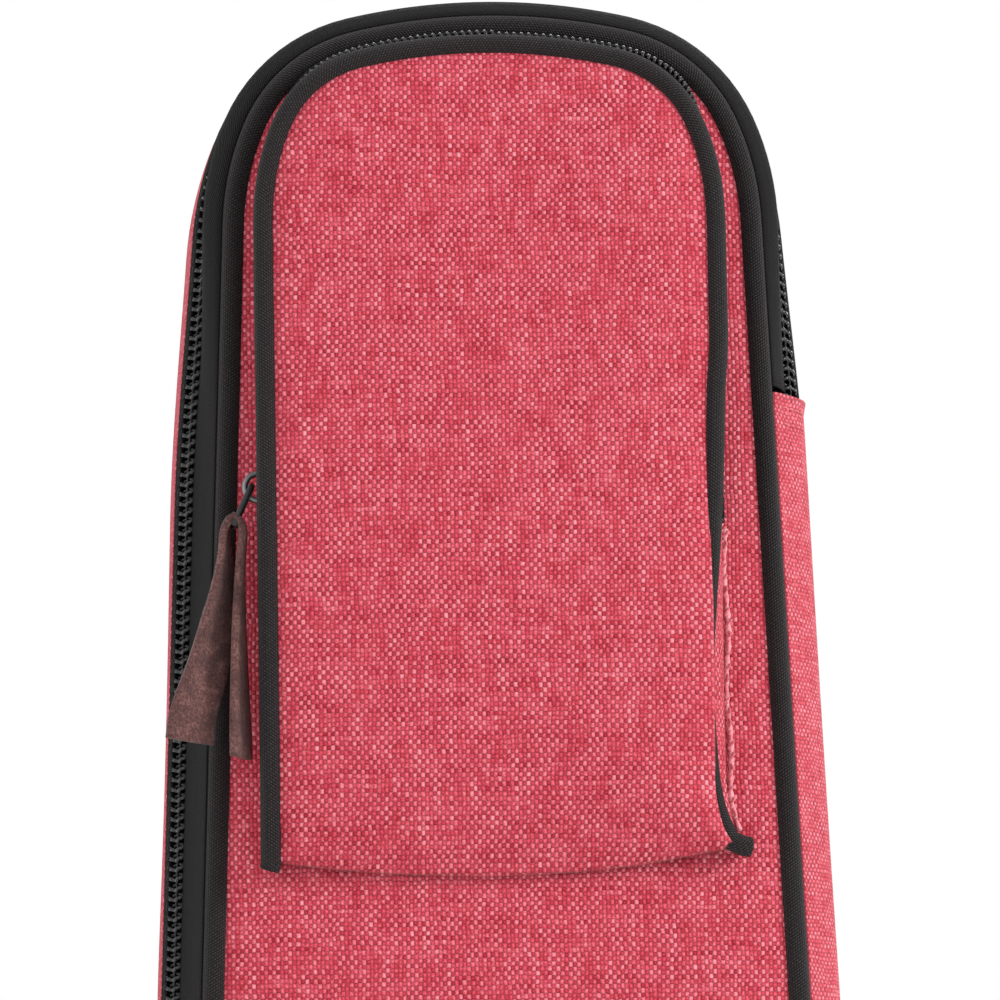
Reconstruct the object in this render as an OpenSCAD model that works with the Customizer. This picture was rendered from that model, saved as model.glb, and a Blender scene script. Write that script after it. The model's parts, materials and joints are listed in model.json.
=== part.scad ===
// Padded soft case for a small stringed instrument, standing upright on its base pad.
// +Z runs from the base to the head, the front faces -Y, and the origin is under the middle of the base.

/* [Outline] */
// Length of the front seam line from head to base
seam_len = 624; // [560:1:760]
// Width between the front seam lines at the head, just below its corners
head_w = 104; // [86:1:126]
// Width between the front seam lines at the widest part of the body
body_w = 226; // [188:1:272]
// Corner radius of the head
head_corner_r = 29.5; // [24:0.5:34]
// Corner radius at the bottom of the body
bout_r = 75; // [60:1:90]
// Length of the straight stretch beside the body
body_line = 90; // [70:1:110]

/* [Walls] */
// Depth from the front seam to the back seam
depth = 92; // [80:1:112]
// How far the side wall bulges past the seam lines
bulge = 11; // [10:0.5:14]
// Thickness of the outer cloth
skin_t = 1.2; // [1:0.1:1.4]
// Thickness of the foam in the front and back
foam_t = 10; // [6:0.5:12]
// Thickness of the foam in the side wall
side_foam_t = 8; // [5:0.5:9]
// Thickness of the lining
lining_t = 0.8; // [0.6:0.1:1.2]
// Radius of the corded edge piping
piping_r = 2.3; // [1.8:0.1:2.6]
// Height of the base pad under the side wall
pad_t = 2.4; // [2:0.2:4]

/* [Zips] */
// Distance from the head's front seam down to the end of the main zip beside the neck
zip_drop = 74; // [64:1:78]
// Width of the front tape between the piping and the coil
tape_w = 12.4; // [11:0.2:14]
// Thickness of the zip tapes
tape_t = 0.7; // [0.5:0.1:0.8]
// Width of one row of coil in the main zip
coil_w = 2.9; // [2.5:0.1:3.1]
// Height of the coil in the main zip
coil_h = 2.4; // [2:0.1:2.6]
// Width of one row of coil in the pocket zip
pocket_coil_w = 2.3; // [2:0.1:2.5]
// Height of the coil in the pocket zip
pocket_coil_h = 2; // [1.6:0.1:2.2]

/* [Head pocket] */
// Inset of the pocket from the front seam
pocket_inset = 7.6; // [6:0.2:12]
// Depth of the pocket between the front panel and the pocket panel
pocket_depth = 13; // [12:0.5:20]
// Length of the pocket below the front seam at the head
pocket_len = 170; // [141:1:206]
// Thickness of the pocket panel
pocket_panel_t = 3; // [2:0.2:4]
// Radius of the pocket piping
pocket_piping_r = 1.8; // [1.4:0.1:2.2]
// Distance from the pocket's fold line up to the head's front seam
fold_drop = 83; // [80:1:92]

/* [Pulls] */
// Width of the leather pulls
pull_w = 8; // [6:0.5:10]
// Length of the leather pulls
pull_len = 44; // [36:1:52]
// Thickness of the leather
leather_t = 1.5; // [1.2:0.1:2]

/* [Carrying] */
// Width of the padded shoulder straps
strap_w = 38; // [30:1:46]
// Thickness of the padded shoulder straps
strap_t = 7; // [5:0.5:9]
// Width of the webbing
web_w = 20; // [18:1:24]
// Thickness of the webbing
web_t = 1.6; // [1.2:0.1:2]
// Length of the handle's grip
grip_len = 96; // [80:1:110]

/* [Hidden] */

gap = 0.3;          // clearance between pieces that meet or pass each other
h_top = 13;         // headings along the outline, clockwise from +X, where each stretch ends
h_corner = 67;
h_neck = 87.8;
h_flare = 50;
h_body = 86;
h_stop = 114;       // where the fixed end of the main zip stops
side_r = 56;        // radius of the stretch that leads from the head's corner into the neck
flare_in_r = 80;    // concave and convex radii of the shoulder, before both are scaled to fit
flare_out_r = 60;

y_front = -depth / 2;
y_back = depth / 2;
z_seam = pad_t + bulge;            // lowest point of the seam line
z_head = z_seam + seam_len;        // highest point of the seam line

// ---- outline: samples are [x, z, heading], and heading turns clockwise from +X ----
function last(a) = a[len(a) - 1];
function arc(p, r, h0, h1, n) = [for (i = [0:n]) let (h = h0 + (h1 - h0) * i / n)
  [p.x + r * (sin(h) - sin(h0)), p.y + r * (cos(h) - cos(h0)), h]];
function line(p, length, h, n = 1) = [for (i = [0:n])
  [p.x + length * cos(h) * i / n, p.y - length * sin(h) * i / n, h]];
function chain(a, b) = concat(a, [for (i = [1:len(b) - 1]) b[i]]);
function mirrored(a) = [for (i = [len(a) - 1:-1:0]) [-a[i].x, a[i].y, -a[i].z]];
function at(s, o, y) = [s.x + o * sin(s.z), y, s.y + o * cos(s.z)];
function above(path, z) = [for (s = path) if (s.y > z) s];

top_r = (head_w / 2 - head_corner_r * (sin(h_corner) - sin(h_top)) - side_r * (sin(h_neck) - sin(h_corner)))
  / sin(h_top);
// How far the seam has dropped below the head where the corner has turned to heading h.
function seam_drop(h) = top_r * (1 - cos(h_top)) + head_corner_r * (cos(h_top) - cos(h_corner))
  + side_r * (cos(h_corner) - cos(h));
// The neck's length and the shoulder's scale come from the body's width and the seam's length.
width_left = body_w / 2 - head_w / 2 - body_line * cos(h_body) - bout_r * (1 - sin(h_body));
drop_left = seam_len - seam_drop(h_neck) - body_line * sin(h_body) - bout_r * (1 + cos(h_body));
flare_dx = flare_in_r * (sin(h_neck) - sin(h_flare)) + flare_out_r * (sin(h_body) - sin(h_flare));
flare_dz = flare_in_r * (cos(h_flare) - cos(h_neck)) + flare_out_r * (cos(h_flare) - cos(h_body));
flare_k = (width_left * sin(h_neck) - drop_left * cos(h_neck))
  / (flare_dx * sin(h_neck) - flare_dz * cos(h_neck));
neck_line = (drop_left - flare_k * flare_dz) / sin(h_neck);
brow_line = (zip_drop - seam_drop(h_neck)) / sin(h_neck);

crown = arc([0, z_head], top_r, 0, h_top, 2);
corner = arc(last(crown), head_corner_r, h_top, h_corner, 8);
temple = arc(last(corner), side_r, h_corner, h_neck, 4);
brow = line(last(temple), brow_line, h_neck);
neck = line(last(brow), neck_line - brow_line, h_neck, 2);
waist = arc(last(neck), -flare_in_r * flare_k, h_neck, h_flare, 5);
shoulder = arc(last(waist), flare_out_r * flare_k, h_flare, h_body, 4);
hip = line(last(shoulder), body_line, h_body);
bout_start = arc(last(hip), bout_r, h_body, h_stop, 3);
zip_end_run = arc(last(hip), bout_r, h_body, h_stop, 8);
bout_rest = arc(last(bout_start), bout_r, h_stop, 180, 8);
base = line(last(bout_rest), last(bout_rest).x, 180);

head_right = chain(chain(chain(crown, corner), temple), brow);
hinge_side = chain(chain(chain(neck, waist), shoulder), hip);
below_stop = chain(bout_rest, base);
right_side = chain(chain(chain(head_right, hinge_side), bout_start), below_stop);
ring = chain(right_side, mirrored(right_side));
zip_run = chain(chain(below_stop, mirrored(right_side)), head_right);

// The lid turns about the straight line from the zip's end beside the neck to where it touches the shoulder.
shoulder_r = flare_out_r * flare_k;
shoulder_c = [hip[0].x - shoulder_r * sin(h_body), hip[0].y - shoulder_r * cos(h_body)];
to_neck = [neck[0].x, neck[0].y] - shoulder_c;
h_axis = atan2(to_neck.x, to_neck.y) + acos(shoulder_r / norm(to_neck));
lid_axis_pos = [neck[0].x, y_front, neck[0].y];
lid_axis = [-cos(h_axis), 0, sin(h_axis)];

// ---- profiles: points are [outward offset from the seam line, y] ----
bulge_y = -8;                       // where the side wall is widest
bulge_k = 8.9 / pow(y_back - bulge_y, 2);
function side(y) = bulge - bulge_k * pow(y - bulge_y, 2);
function band(ys, out, t) = concat([for (y = ys) [side(y) - out, y]],
  [for (i = [len(ys) - 1:-1:0]) [side(ys[i]) - out - t, ys[i]]]);
// A plate from a to b, of thickness t to each side.
function plate(a, b, t) = let (d = (b - a) / norm(b - a), m = [d.y, -d.x] * t) [a + m, b + m, b - m, a - m];
// A bar with chamfered corners, w by h, with its width along the unit vector d.
function bar(c, d, w, h) = let (m = [d.y, -d.x], e = 0.3)
  [for (q = [[-1, e], [-e, 1], [e, 1], [1, e], [1, -e], [e, -1], [-e, -1], [-1, -e]])
    c + d * q.x * w / 2 + m * q.y * h / 2];
function disc(c, r, n) = [for (i = [0:n - 1]) c + r * [cos(360 * i / n), -sin(360 * i / n)]];

tape_root = [piping_r + gap, y_front + 1];
tape_dir = [0.30, 0.954];
chain_dir = [0.40, 0.917];
chain_out = [chain_dir.y, -chain_dir.x];
row_gap = 0.8;                      // space between the two rows of coil, where the slider's post runs
coil_front_c = tape_root + tape_dir * tape_w + chain_dir * (coil_w / 2 + 0.1);
coil_rear_c = coil_front_c + chain_dir * (coil_w + row_gap);
chain_c = (coil_front_c + coil_rear_c) / 2;
tape_rear_root = coil_rear_c + chain_dir * (coil_w / 2 + 0.1);
tape_front_prof = plate(tape_root, tape_root + tape_dir * tape_w, tape_t / 2);
tape_rear_bend = tape_rear_root + chain_dir * 2.2;
y_side = tape_rear_bend.y + 2.6;    // front edge of the side wall's cloth
y_side_foam = y_side + 5.6;
tape_under = side(y_side) - skin_t - gap - tape_t / 2;
tape_rear_prof = flat_band(
  [tape_rear_root, tape_rear_bend, [tape_under, y_side], [tape_under, y_side + 3.4]], tape_t);

// ---- solids from paths and profiles ----
module sweep(path, prof, closed = false) {
  n = len(path) - (closed ? 1 : 0);
  m = len(prof);
  points = [for (i = [0:n - 1]) for (q = prof) at(path[i], q.x, q.y)];
  walls = [for (i = [0:(closed ? n - 1 : n - 2)]) for (j = [0:m - 1])
    let (k = (i + 1) % n, l = (j + 1) % m) [i * m + l, k * m + l, k * m + j, i * m + j]];
  caps = closed ? [] : [[for (j = [m - 1:-1:0]) j], [for (j = [0:m - 1]) (n - 1) * m + j]];
  polyhedron(points, concat(walls, caps), convexity = 8);
}

// A slab in the outline's shape, offset by o, from y0 to y1.
module slab(path, o, y0, y1) {
  translate([0, y1, 0]) rotate([90, 0, 0]) linear_extrude(y1 - y0)
    polygon([for (s = path) let (p = at(s, o, 0)) [p.x, p.z]]);
}

function unit(v) = v / norm(v);
// A tube along 3D points, each ring square to the path.
module tube(points, r, sides = 8) {
  n = len(points);
  function along(i) = unit(points[min(i + 1, n - 1)] - points[max(i - 1, 0)]);
  rings = [for (i = [0:n - 1]) let (t = along(i), u = unit(cross(t, [1, 0.2, 0.1])), v = cross(t, u))
    for (j = [0:sides - 1]) points[i] + r * (cos(360 * j / sides) * u + sin(360 * j / sides) * v)];
  walls = [for (i = [0:n - 2]) for (j = [0:sides - 1]) let (k = (j + 1) % sides)
    [i * sides + j, i * sides + k, (i + 1) * sides + k, (i + 1) * sides + j]];
  caps = [[for (j = [sides - 1:-1:0]) j], [for (j = [0:sides - 1]) (n - 1) * sides + j]];
  polyhedron(rings, concat(walls, caps));
}

// ---- the shell: back, side wall and base ----
y_back_skin = y_back + 2;           // outer face of the back
y_back_foam = y_back_skin - skin_t - 0.2;
y_back_lining = y_back_foam - foam_t - 0.2 - lining_t;
y_side_end = y_back_lining - 0.2;   // where the side's foam meets the back's lining
module back_skin() color("#cc5463")
  slab(ring, side(y_back) - skin_t - gap, y_back_skin - skin_t, y_back_skin);
module back_foam() color("#3a3a3d") slab(ring, -gap, y_back_foam - foam_t, y_back_foam);
module back_lining() color("#2b2b30") slab(ring, -side_foam_t / 2, y_back_lining, y_back_lining + lining_t);
y_wall = [for (i = [0:5]) y_side + (y_back - 2.6 - y_side) * i / 5];
y_pad_wall = [for (i = [0:4]) y_side_foam + (y_side_end - y_side_foam) * i / 4];
module side_skin() color("#cc5463") sweep(ring, band(y_wall, 0, skin_t), true);
module side_foam() color("#3a3a3d") sweep(ring, band(y_pad_wall, skin_t + 0.2, side_foam_t), true);
side_lining_in = skin_t + 0.6 + side_foam_t;
y_lining_wall = [y_side_foam, (y_side_foam + y_side_end) / 2, y_side_end];
module side_lining() color("#2b2b30") sweep(ring, band(y_lining_wall, side_lining_in, lining_t), true);
back_piping_c = [side(y_back) + piping_r * 0.6, y_back];
module back_piping() color("#222224") sweep(ring, disc(back_piping_c, piping_r - 0.3, 8), true);
rear_run = chain(zip_end_run, zip_run);
module zip_tape_rear() color("#333335") sweep(rear_run, tape_rear_prof);
module zip_coil_rear() color("#151517") sweep(rear_run, bar(coil_rear_c, chain_dir, coil_w, coil_h));
// The last stretch of the front half of the zip is sewn down to the shell, and the slider parks on it.
module zip_end_tape() color("#333335") sweep(zip_end_run, tape_front_prof);
module zip_end_coil() color("#151517") sweep(zip_end_run, bar(coil_front_c, chain_dir, coil_w, coil_h));

hinge_mid = [tape_root, [6.2, y_front + 9.5], [9, y_front + 16], [side(y_side) - skin_t / 2, y_side - gap]];
hinge_out = [0.92, -0.38] * skin_t / 2;
hinge_prof = concat([for (p = hinge_mid) p + hinge_out], [for (i = [3:-1:0]) hinge_mid[i] - hinge_out]);
function at_gap(s, g) = [s.x + g * cos(s.z), s.y - g * sin(s.z), s.z];
hinge_path = concat([at_gap(neck[0], 4 * gap)], [for (i = [1:len(hinge_side) - 2]) hinge_side[i]],
  [at_gap(last(hip), -gap)]);
module hinge_gusset() color("#cc5463") sweep(hinge_path, hinge_prof);
// A cloth tab over the bottom end of the zip, on the slope between the coil and the side wall.
module zip_end_tab() color("#cc5463")
  sweep(line(at_gap(last(hip), gap), 5, h_body),
    plate(coil_front_c + chain_out * (coil_h / 2 + 1) - chain_dir,
    coil_rear_c + chain_out * (coil_h / 2 + 1) + chain_dir, skin_t / 2));

pad_y = bulge_y + 4;
pad_half = 27;
pad_ys = [for (i = [-3:3]) pad_y + pad_half * i / 3];
pad_top = [for (y = pad_ys) [y, z_seam - side(y) - 0.1]];
module base_pad() color("#1c1c1e") translate([-base[0].x, 0, 0]) rotate([90, 0, 90])
  linear_extrude(2 * base[0].x) polygon(concat(pad_top, [[pad_y + pad_half, 0], [pad_y - pad_half, 0]]));

// ---- what holds the instrument inside: a foam rest with a channel, and a strap over the neck ----
rest_z = last(neck).y + 34;
rest_len = 50;
rest_w = 2 * (on_neck(rest_z + rest_len).x + side(y_side_end) - side_lining_in - lining_t - 1);
rest_front = y_back_lining - 34;
channel_w = 52;
module neck_rest() color("#2b2b30") difference() {
  translate([-rest_w / 2, rest_front, rest_z]) cube([rest_w, y_back_lining - gap - rest_front, rest_len]);
  translate([-channel_w / 2, rest_front - 1, rest_z - 1]) cube([channel_w, 19, rest_len + 2]);
  translate([0, rest_front + 18, rest_z - 1]) cylinder(r = channel_w / 2 - 12, h = rest_len + 2);
}
module neck_strap() color("#1f1f21")
  translate([-rest_w / 2 + 2, rest_front - web_t - gap, rest_z + (rest_len - web_w) / 2])
  cube([rest_w - 4, web_t, web_w]);

// ---- the lid: front panel, its piping and the front half of the zip ----
y_skin = y_front - 2;               // outer face of the front panel
y_foam = y_skin + skin_t + 0.2;
y_lining = y_foam + foam_t + 0.2;
module front_skin() color("#cc5463") slab(ring, -piping_r - gap, y_skin, y_skin + skin_t);
module front_foam() color("#3a3a3d") slab(ring, -piping_r - gap, y_foam, y_foam + foam_t);
module front_lining() color("#2b2b30") slab(ring, -piping_r - gap, y_lining, y_lining + lining_t);
module front_piping() color("#222224") sweep(ring, disc([0, y_front], piping_r, 8), true);
lid_zip = concat([at_gap(zip_run[0], gap)], [for (i = [1:len(zip_run) - 1]) zip_run[i]]);
module zip_tape_front() color("#333335") sweep(lid_zip, tape_front_prof);
module zip_coil_front() color("#151517") sweep(lid_zip, bar(coil_front_c, chain_dir, coil_w, coil_h));

// ---- the head pocket ----
z_fold = z_head - fold_drop;        // the pocket panel folds down about this line
z_pocket = z_head - pocket_len;     // bottom edge of the pocket
y_panel = y_skin - pocket_depth;    // inner face of the pocket panel
y_pocket = y_panel - pocket_panel_t;
zip_end_drop = 19.5;                // how far the pocket zip runs below the fold line
z_bend = z_fold - zip_end_drop;
foot_depth = 3;                     // depth left between the panels at the pocket's bottom edge
function below(z) = let (p = last(temple), s = (p.y - z) / sin(h_neck)) [p.x + s * cos(h_neck), z, h_neck];
function on_neck(z) = z > last(temple).y
  ? [for (i = [0:len(temple) - 2]) if (temple[i].y >= z && temple[i + 1].y < z)
      temple[i] + (temple[i + 1] - temple[i]) * (temple[i].y - z) / (temple[i].y - temple[i + 1].y)][0]
  : below(z);
function arch_half(z) = concat(above(head_right, z + 0.5), [on_neck(z)]);
function arch(z) = chain(mirrored(arch_half(z)), arch_half(z));
fold_arch = arch(z_fold + gap / 2);

y_piping = y_panel - 1.4;                             // middle of the pocket's piping
pocket_coil_y = y_panel + pocket_coil_w / 2 + 1.6;    // the row on the panel's side
base_coil_y = pocket_coil_y + pocket_coil_w + row_gap;
zip_o = -pocket_inset - 0.6;                          // offset of the pocket zip from the front seam
function wall_prof(y0, y1, t) = [
  [zip_o + t / 2, y0], [zip_o + t / 2, y1], [zip_o - t / 2, y1], [zip_o - t / 2, y0]
];
flap_tape_prof = wall_prof(y_piping + pocket_piping_r + 0.1, pocket_coil_y - pocket_coil_w / 2 - 0.1, tape_t);
base_tape_prof = wall_prof(base_coil_y + pocket_coil_w / 2 + 0.1, y_skin - 0.1, tape_t);
module pocket_panel() color("#cc5463")
  slab(fold_arch, -pocket_inset - pocket_piping_r - gap, y_pocket, y_panel);
module pocket_piping() color("#222224")
  sweep(fold_arch, disc([-pocket_inset, y_piping], pocket_piping_r, 8));
module pocket_tape_flap() color("#333335") sweep(fold_arch, flap_tape_prof);
module pocket_coil_flap() color("#151517")
  sweep(fold_arch, bar([zip_o, pocket_coil_y], [0, 1], pocket_coil_w, pocket_coil_h));

zip_arch = arch(z_bend);
module pocket_tape_base() color("#333335") sweep(zip_arch, base_tape_prof);
module pocket_coil_base() color("#151517")
  sweep(zip_arch, bar([zip_o, base_coil_y], [0, 1], pocket_coil_w, pocket_coil_h));
// Below the fold line the panel's half of the zip stays with the lid.
module both_sides(z0, z1) {
  for (path = [[on_neck(z0), on_neck(z1)], mirrored([on_neck(z0), on_neck(z1)])]) {
    $side = path;
    children();
  }
}
module pocket_zip_ends() color("#151517") both_sides(z_fold - gap / 2, z_bend) {
  sweep($side, bar([zip_o, pocket_coil_y], [0, 1], pocket_coil_w, pocket_coil_h));
  sweep($side, flap_tape_prof);
}
// The lower panel leans in from the fold line to the bottom edge.
slope_y = y_skin - foot_depth;
z_lower = z_fold - 2 * gap;
lower_half = at(on_neck(z_fold), -pocket_inset - pocket_piping_r - gap, 0).x;
lower_prof = [[y_panel, z_lower], [y_pocket, z_lower], [y_pocket, z_bend],
  [slope_y - pocket_panel_t, z_pocket],
  [slope_y, z_pocket], [y_panel, z_bend]];
module pocket_lower_panel() color("#cc5463") translate([-lower_half, 0, 0]) rotate([90, 0, 90])
  linear_extrude(2 * lower_half) polygon(lower_prof);
function edge_point(z, y) = let (p = at(on_neck(z), -pocket_inset, 0)) [p.x, y, p.z];
lower_edge = [edge_point(z_fold - gap / 2, y_piping), edge_point(z_bend, y_piping),
  edge_point(z_pocket + 12, y_panel * 0.2 + slope_y * 0.8 - 1.4), edge_point(z_pocket, slope_y - 1.4)];
module pocket_lower_piping() color("#222224")
  for (m = [0, 1]) mirror([m, 0, 0]) tube(lower_edge, pocket_piping_r);
gusset_prof = [[y_skin - 0.1, z_bend - 3 * gap], [y_panel + 1, z_bend - 3 * gap],
  [slope_y + 0.8, z_pocket + 2],
  [y_skin - 0.1, z_pocket + 2]];
module pocket_gusset() color("#cc5463") for (m = [0, 1]) mirror([m, 0, 0])
  translate([at(on_neck(z_bend), zip_o, 0).x - skin_t / 2, 0, 0]) rotate([90, 0, 90])
    linear_extrude(skin_t) polygon(gusset_prof);

// ---- sliders, links and pulls. A slider's frame: X along the zip, Y across it, Z away from the case ----
module slider(row_w, coil_h, length) {
  inner_w = 2 * row_w + row_gap + 0.8;
  inner_h = coil_h + 0.7;
  plate_t = 0.9;
  slot = tape_t + 0.7;
  rim = (inner_h - slot) / 2;
  for (s = [-1, 1]) {
    translate([-length / 2, -inner_w / 2 - plate_t, s > 0 ? inner_h / 2 : -inner_h / 2 - plate_t])
      cube([length, inner_w + 2 * plate_t, plate_t]);
    for (w = [-1, 1])
      translate([-length / 2, w > 0 ? inner_w / 2 : -inner_w / 2 - plate_t,
        s > 0 ? slot / 2 : -slot / 2 - rim])
        cube([length, plate_t, rim + 0.01]);
  }
  wedge_w = row_gap - 0.4;
  translate([length / 2 - 2, -wedge_w / 2, -inner_h / 2 - 0.1]) cube([1.6, wedge_w, inner_h + 0.2]);
  translate([0, 0, inner_h / 2 + plate_t - 0.2]) rotate([90, 0, 0])
    rotate_extrude(angle = 180, $fn = 32) translate([bail_r, 0]) circle(r = bail_wire, $fn = 24);
}
bail_r = 2.7;
bail_wire = 0.6;
hook_in = 1.3;                      // the link's top wire sits this far out from the middle of the bail
function hook_height(coil_h) = coil_h / 2 + 0.35 + 0.9 - 0.2 + hook_in;

// A wire loop with a straight lower bar. The middle of its top wire is the origin.
link_wire = 0.6;
link_half_w = 2;
link_len = 9;
module link() {
  bar_z = link_wire - link_len;
  for (x = [-link_half_w, link_half_w])
    translate([x, 0, bar_z]) cylinder(r = link_wire, h = -link_half_w - bar_z, $fn = 24);
  translate([0, 0, -link_half_w]) rotate([90, 0, 0]) rotate_extrude(angle = 180, $fn = 32)
    translate([link_half_w, 0]) circle(r = link_wire, $fn = 24);
  translate([-link_half_w - link_wire, 0, bar_z]) rotate([0, 90, 0])
    cylinder(r = link_wire + 0.05, h = 2 * (link_half_w + link_wire), $fn = 24);
}
// A leather strip folded over the link's lower bar, whose axis is the origin. It is narrow inside the link.
fold_in = link_wire + 0.3;
fold_w = 2 * (link_half_w - link_wire) - 0.4;
module leather() {
  rotate([0, 90, 0]) translate([0, 0, -fold_w / 2]) rotate([0, 0, 90]) rotate_extrude(angle = 180, $fn = 48)
    translate([fold_in, 0]) square([leather_t, fold_w]);
  for (s = [-1, 1]) translate([0, s > 0 ? fold_in + leather_t : -fold_in, 0]) rotate([90, 0, 0])
    linear_extrude(leather_t) polygon([
      [-fold_w / 2, 0.01], [-fold_w / 2, -3], [-pull_w / 2, -9], [-pull_w / 2, s - pull_len],
      [pull_w / 2, s - pull_len], [pull_w / 2, -9], [fold_w / 2, -3], [fold_w / 2, 0.01]
    ]);
}
// A link that hangs at p, leaning out by tilt; before the turn, out is -X.
module hang(p, turn, tilt)
  translate(p) rotate([0, 0, turn]) rotate([0, tilt, 0]) rotate([0, 0, 90]) children();
// A pull on the link's bar, leaning out by lean.
module hang_pull(p, turn, tilt, lean) translate(p) rotate([0, 0, turn]) rotate([0, tilt, 0])
  translate([0, 0, link_wire - link_len]) rotate([0, lean - tilt, 0]) rotate([0, 0, 90]) leather();

pocket_slider_z = z_fold - 12.2;
pocket_zip_x = at(on_neck(pocket_slider_z), zip_o, 0).x;
pocket_zip_y = (pocket_coil_y + base_coil_y) / 2 + 0.08;
pocket_hook = [-pocket_zip_x - hook_height(pocket_coil_h), pocket_zip_y, pocket_slider_z + 0.3];
pocket_tilt = 25;
pocket_lean = 2;
module pocket_slider() color("#9aa0a6") translate([-pocket_zip_x, pocket_zip_y, pocket_slider_z])
  rotate([0, -h_neck, 0]) slider(pocket_coil_w, pocket_coil_h, 10);
module pocket_link() color("#1a1a1c") hang(pocket_hook, 0, pocket_tilt) link();
module pocket_pull() color("#6a403a") hang_pull(pocket_hook, 0, pocket_tilt, pocket_lean);

h_park = 94.5;                      // heading at which the main slider is parked
bout_c = [last(hip).x - bout_r * sin(h_body), last(hip).y - bout_r * cos(h_body)];
park = [bout_c.x + bout_r * sin(h_park), bout_c.y + bout_r * cos(h_park), h_park];
chain_tilt = atan2(chain_dir.x, chain_dir.y);
main_hook = let (q = chain_c + chain_out * hook_height(coil_h)) at(park, q.x, q.y) + [0, 0, 0.3];
main_turn = 180 - chain_tilt;
main_tilt = 8;
module main_slider() color("#8b9096") translate(at(park, chain_c.x, chain_c.y)) rotate([0, h_park, 0])
  rotate([chain_tilt, 0, 0]) slider(coil_w, coil_h, 12);
module main_link() color("#1a1a1c") hang(main_hook, main_turn, main_tilt) link();
module main_pull() color("#6a403a") hang_pull(main_hook, main_turn, main_tilt, 0);

// ---- handle, hang loop and shoulder straps ----
function flat_band(path, w) = let (n = len(path))
  [for (s = [-1, 1]) for (i = [0:n - 1]) let (k = s > 0 ? n - 1 - i : i,
    t = unit(path[min(k + 1, n - 1)] - path[max(k - 1, 0)])) path[k] + s * w / 2 * [-t.y, t.x]];

patch_len = 26;
handle_o = bulge + 0.4 + web_t / 2;
handle_top = line(last(temple), neck_line - 34, h_neck)[1];
handle_low = shoulder[3];
handle_a = at(handle_top, handle_o, 0);
handle_b = at(handle_low, handle_o, 0);
handle_mid = (handle_a + handle_b) / 2;
handle_lean = atan2(handle_b.x - handle_a.x, handle_a.z - handle_b.z);
handle_half = norm(handle_b - handle_a) / 2;
stub_rise = 8;                      // how far out the sewn ends stand before the part that swings
grip_out = 15;                      // how far the grip stands out from the line between its ends
// The handle's frame: Z up along the handle, X away from the case.
module in_handle() translate([handle_mid.x, bulge_y, handle_mid.z]) rotate([0, -handle_lean, 0]) children();
module handle_strip(path) translate([0, web_w / 2, 0]) rotate([90, 0, 0]) linear_extrude(web_w)
  polygon(flat_band(path, web_t));
handle_cut = handle_half - stub_rise;    // the sewn ends stop this far from the middle
handle_rise = [
  [stub_rise - 1, handle_cut + 1], [grip_out - 2, grip_len / 2 + 3], [grip_out, grip_len / 2 - 4]
];
handle_path = concat(handle_rise, [for (i = [2:-1:0]) [handle_rise[i].x, -handle_rise[i].y]]);
module handle_webbing() color("#1f1f21") in_handle() intersection() {
  handle_strip(handle_path);
  cube([4 * web_w, 4 * web_w, 2 * (handle_cut - gap)], center = true);
}
module handle_grip() color("#2a2a2c") in_handle() difference() {
  translate([grip_out - 2.8, 0, 4 - grip_len / 2]) linear_extrude(grip_len - 8) union() {
    translate([0, -web_w / 2 - 1]) square([5.6, web_w + 2]);
    for (s = [-1, 1]) translate([2.8, s * (web_w / 2 + 1)]) circle(r = 2.8, $fn = 32);
  }
  translate([grip_out - web_t / 2 - gap, -web_w / 2 - gap, -grip_len])
    cube([web_t + 2 * gap, web_w + 2 * gap, 2 * grip_len]);
}
patch_prof = let (ys = [bulge_y - web_w / 2, bulge_y, bulge_y + web_w / 2])
  concat([for (y = ys) [side(y) + 0.2 + web_t, y]], [for (i = [2:-1:0]) [side(ys[i]) + 0.2, ys[i]]]);
module handle_patches() color("#1f1f21") {
  sweep(line(at_gap(handle_top, -patch_len - 2), patch_len, h_neck), patch_prof);
  sweep([at_gap(handle_low, -1), handle_low, last(shoulder), at_gap(hip[0], 13)], patch_prof);
  in_handle() for (s = [-1, 1]) intersection() {
    handle_strip([[0.6, s * (handle_half + (s > 0 ? 1.4 : -0.8))], [stub_rise + 1, s * (handle_cut - 1)]]);
    translate([-2 * web_w, -2 * web_w, s > 0 ? handle_cut : -handle_cut - 4 * web_w]) cube(4 * web_w);
  }
}

y_strap = y_back_skin + gap;
loop_z = z_head - 34;
loop_len = 46;
module hang_loop() color("#1f1f21") translate([0, y_strap, loop_z]) difference() {
  translate([-web_w / 2, 0, -loop_len / 2]) cube([web_w, 9, loop_len]);
  translate([-web_w, web_t, -loop_len / 2 + 12]) cube([2 * web_w, 9 - 2 * web_t, loop_len - 24]);
  for (z = [loop_len / 2 - 10, -loop_len / 2 - 30])
    translate([-web_w, 2 * web_t, z]) cube([2 * web_w, 20, 40]);
}

strap_top_z = last(neck).y + 40;
strap_low_z = z_seam + 104;
strap_x = body_w * 0.257;
lock_w = web_w + 8;
lock_h = 19;
lock_z = strap_low_z - 22;
anchor_z = z_seam + 52;
function strap_at(x, f) = [strap_x * x, strap_low_z + (strap_top_z - 16 - strap_low_z) * f];
pad_w = strap_w - 6;
pad_top_x = max(0.29, (pad_w / 2 + 0.84) / strap_x);   // keeps the two pads apart under the yoke
strap_path = [
  strap_at(pad_top_x, 1), strap_at(0.52, 0.75), strap_at(0.76, 0.47), strap_at(0.95, 0.2), strap_at(1, 0.06),
  strap_at(1, 0)
];
module band_on_back(path, w, y, t) translate([0, y + t, 0]) rotate([90, 0, 0]) linear_extrude(t)
  polygon(flat_band(path, w));
module pair() for (m = [0, 1]) mirror([m, 0, 0]) children();
module strap_pads() color("#cc5463") pair() band_on_back(strap_path, pad_w, y_strap, strap_t);
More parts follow.
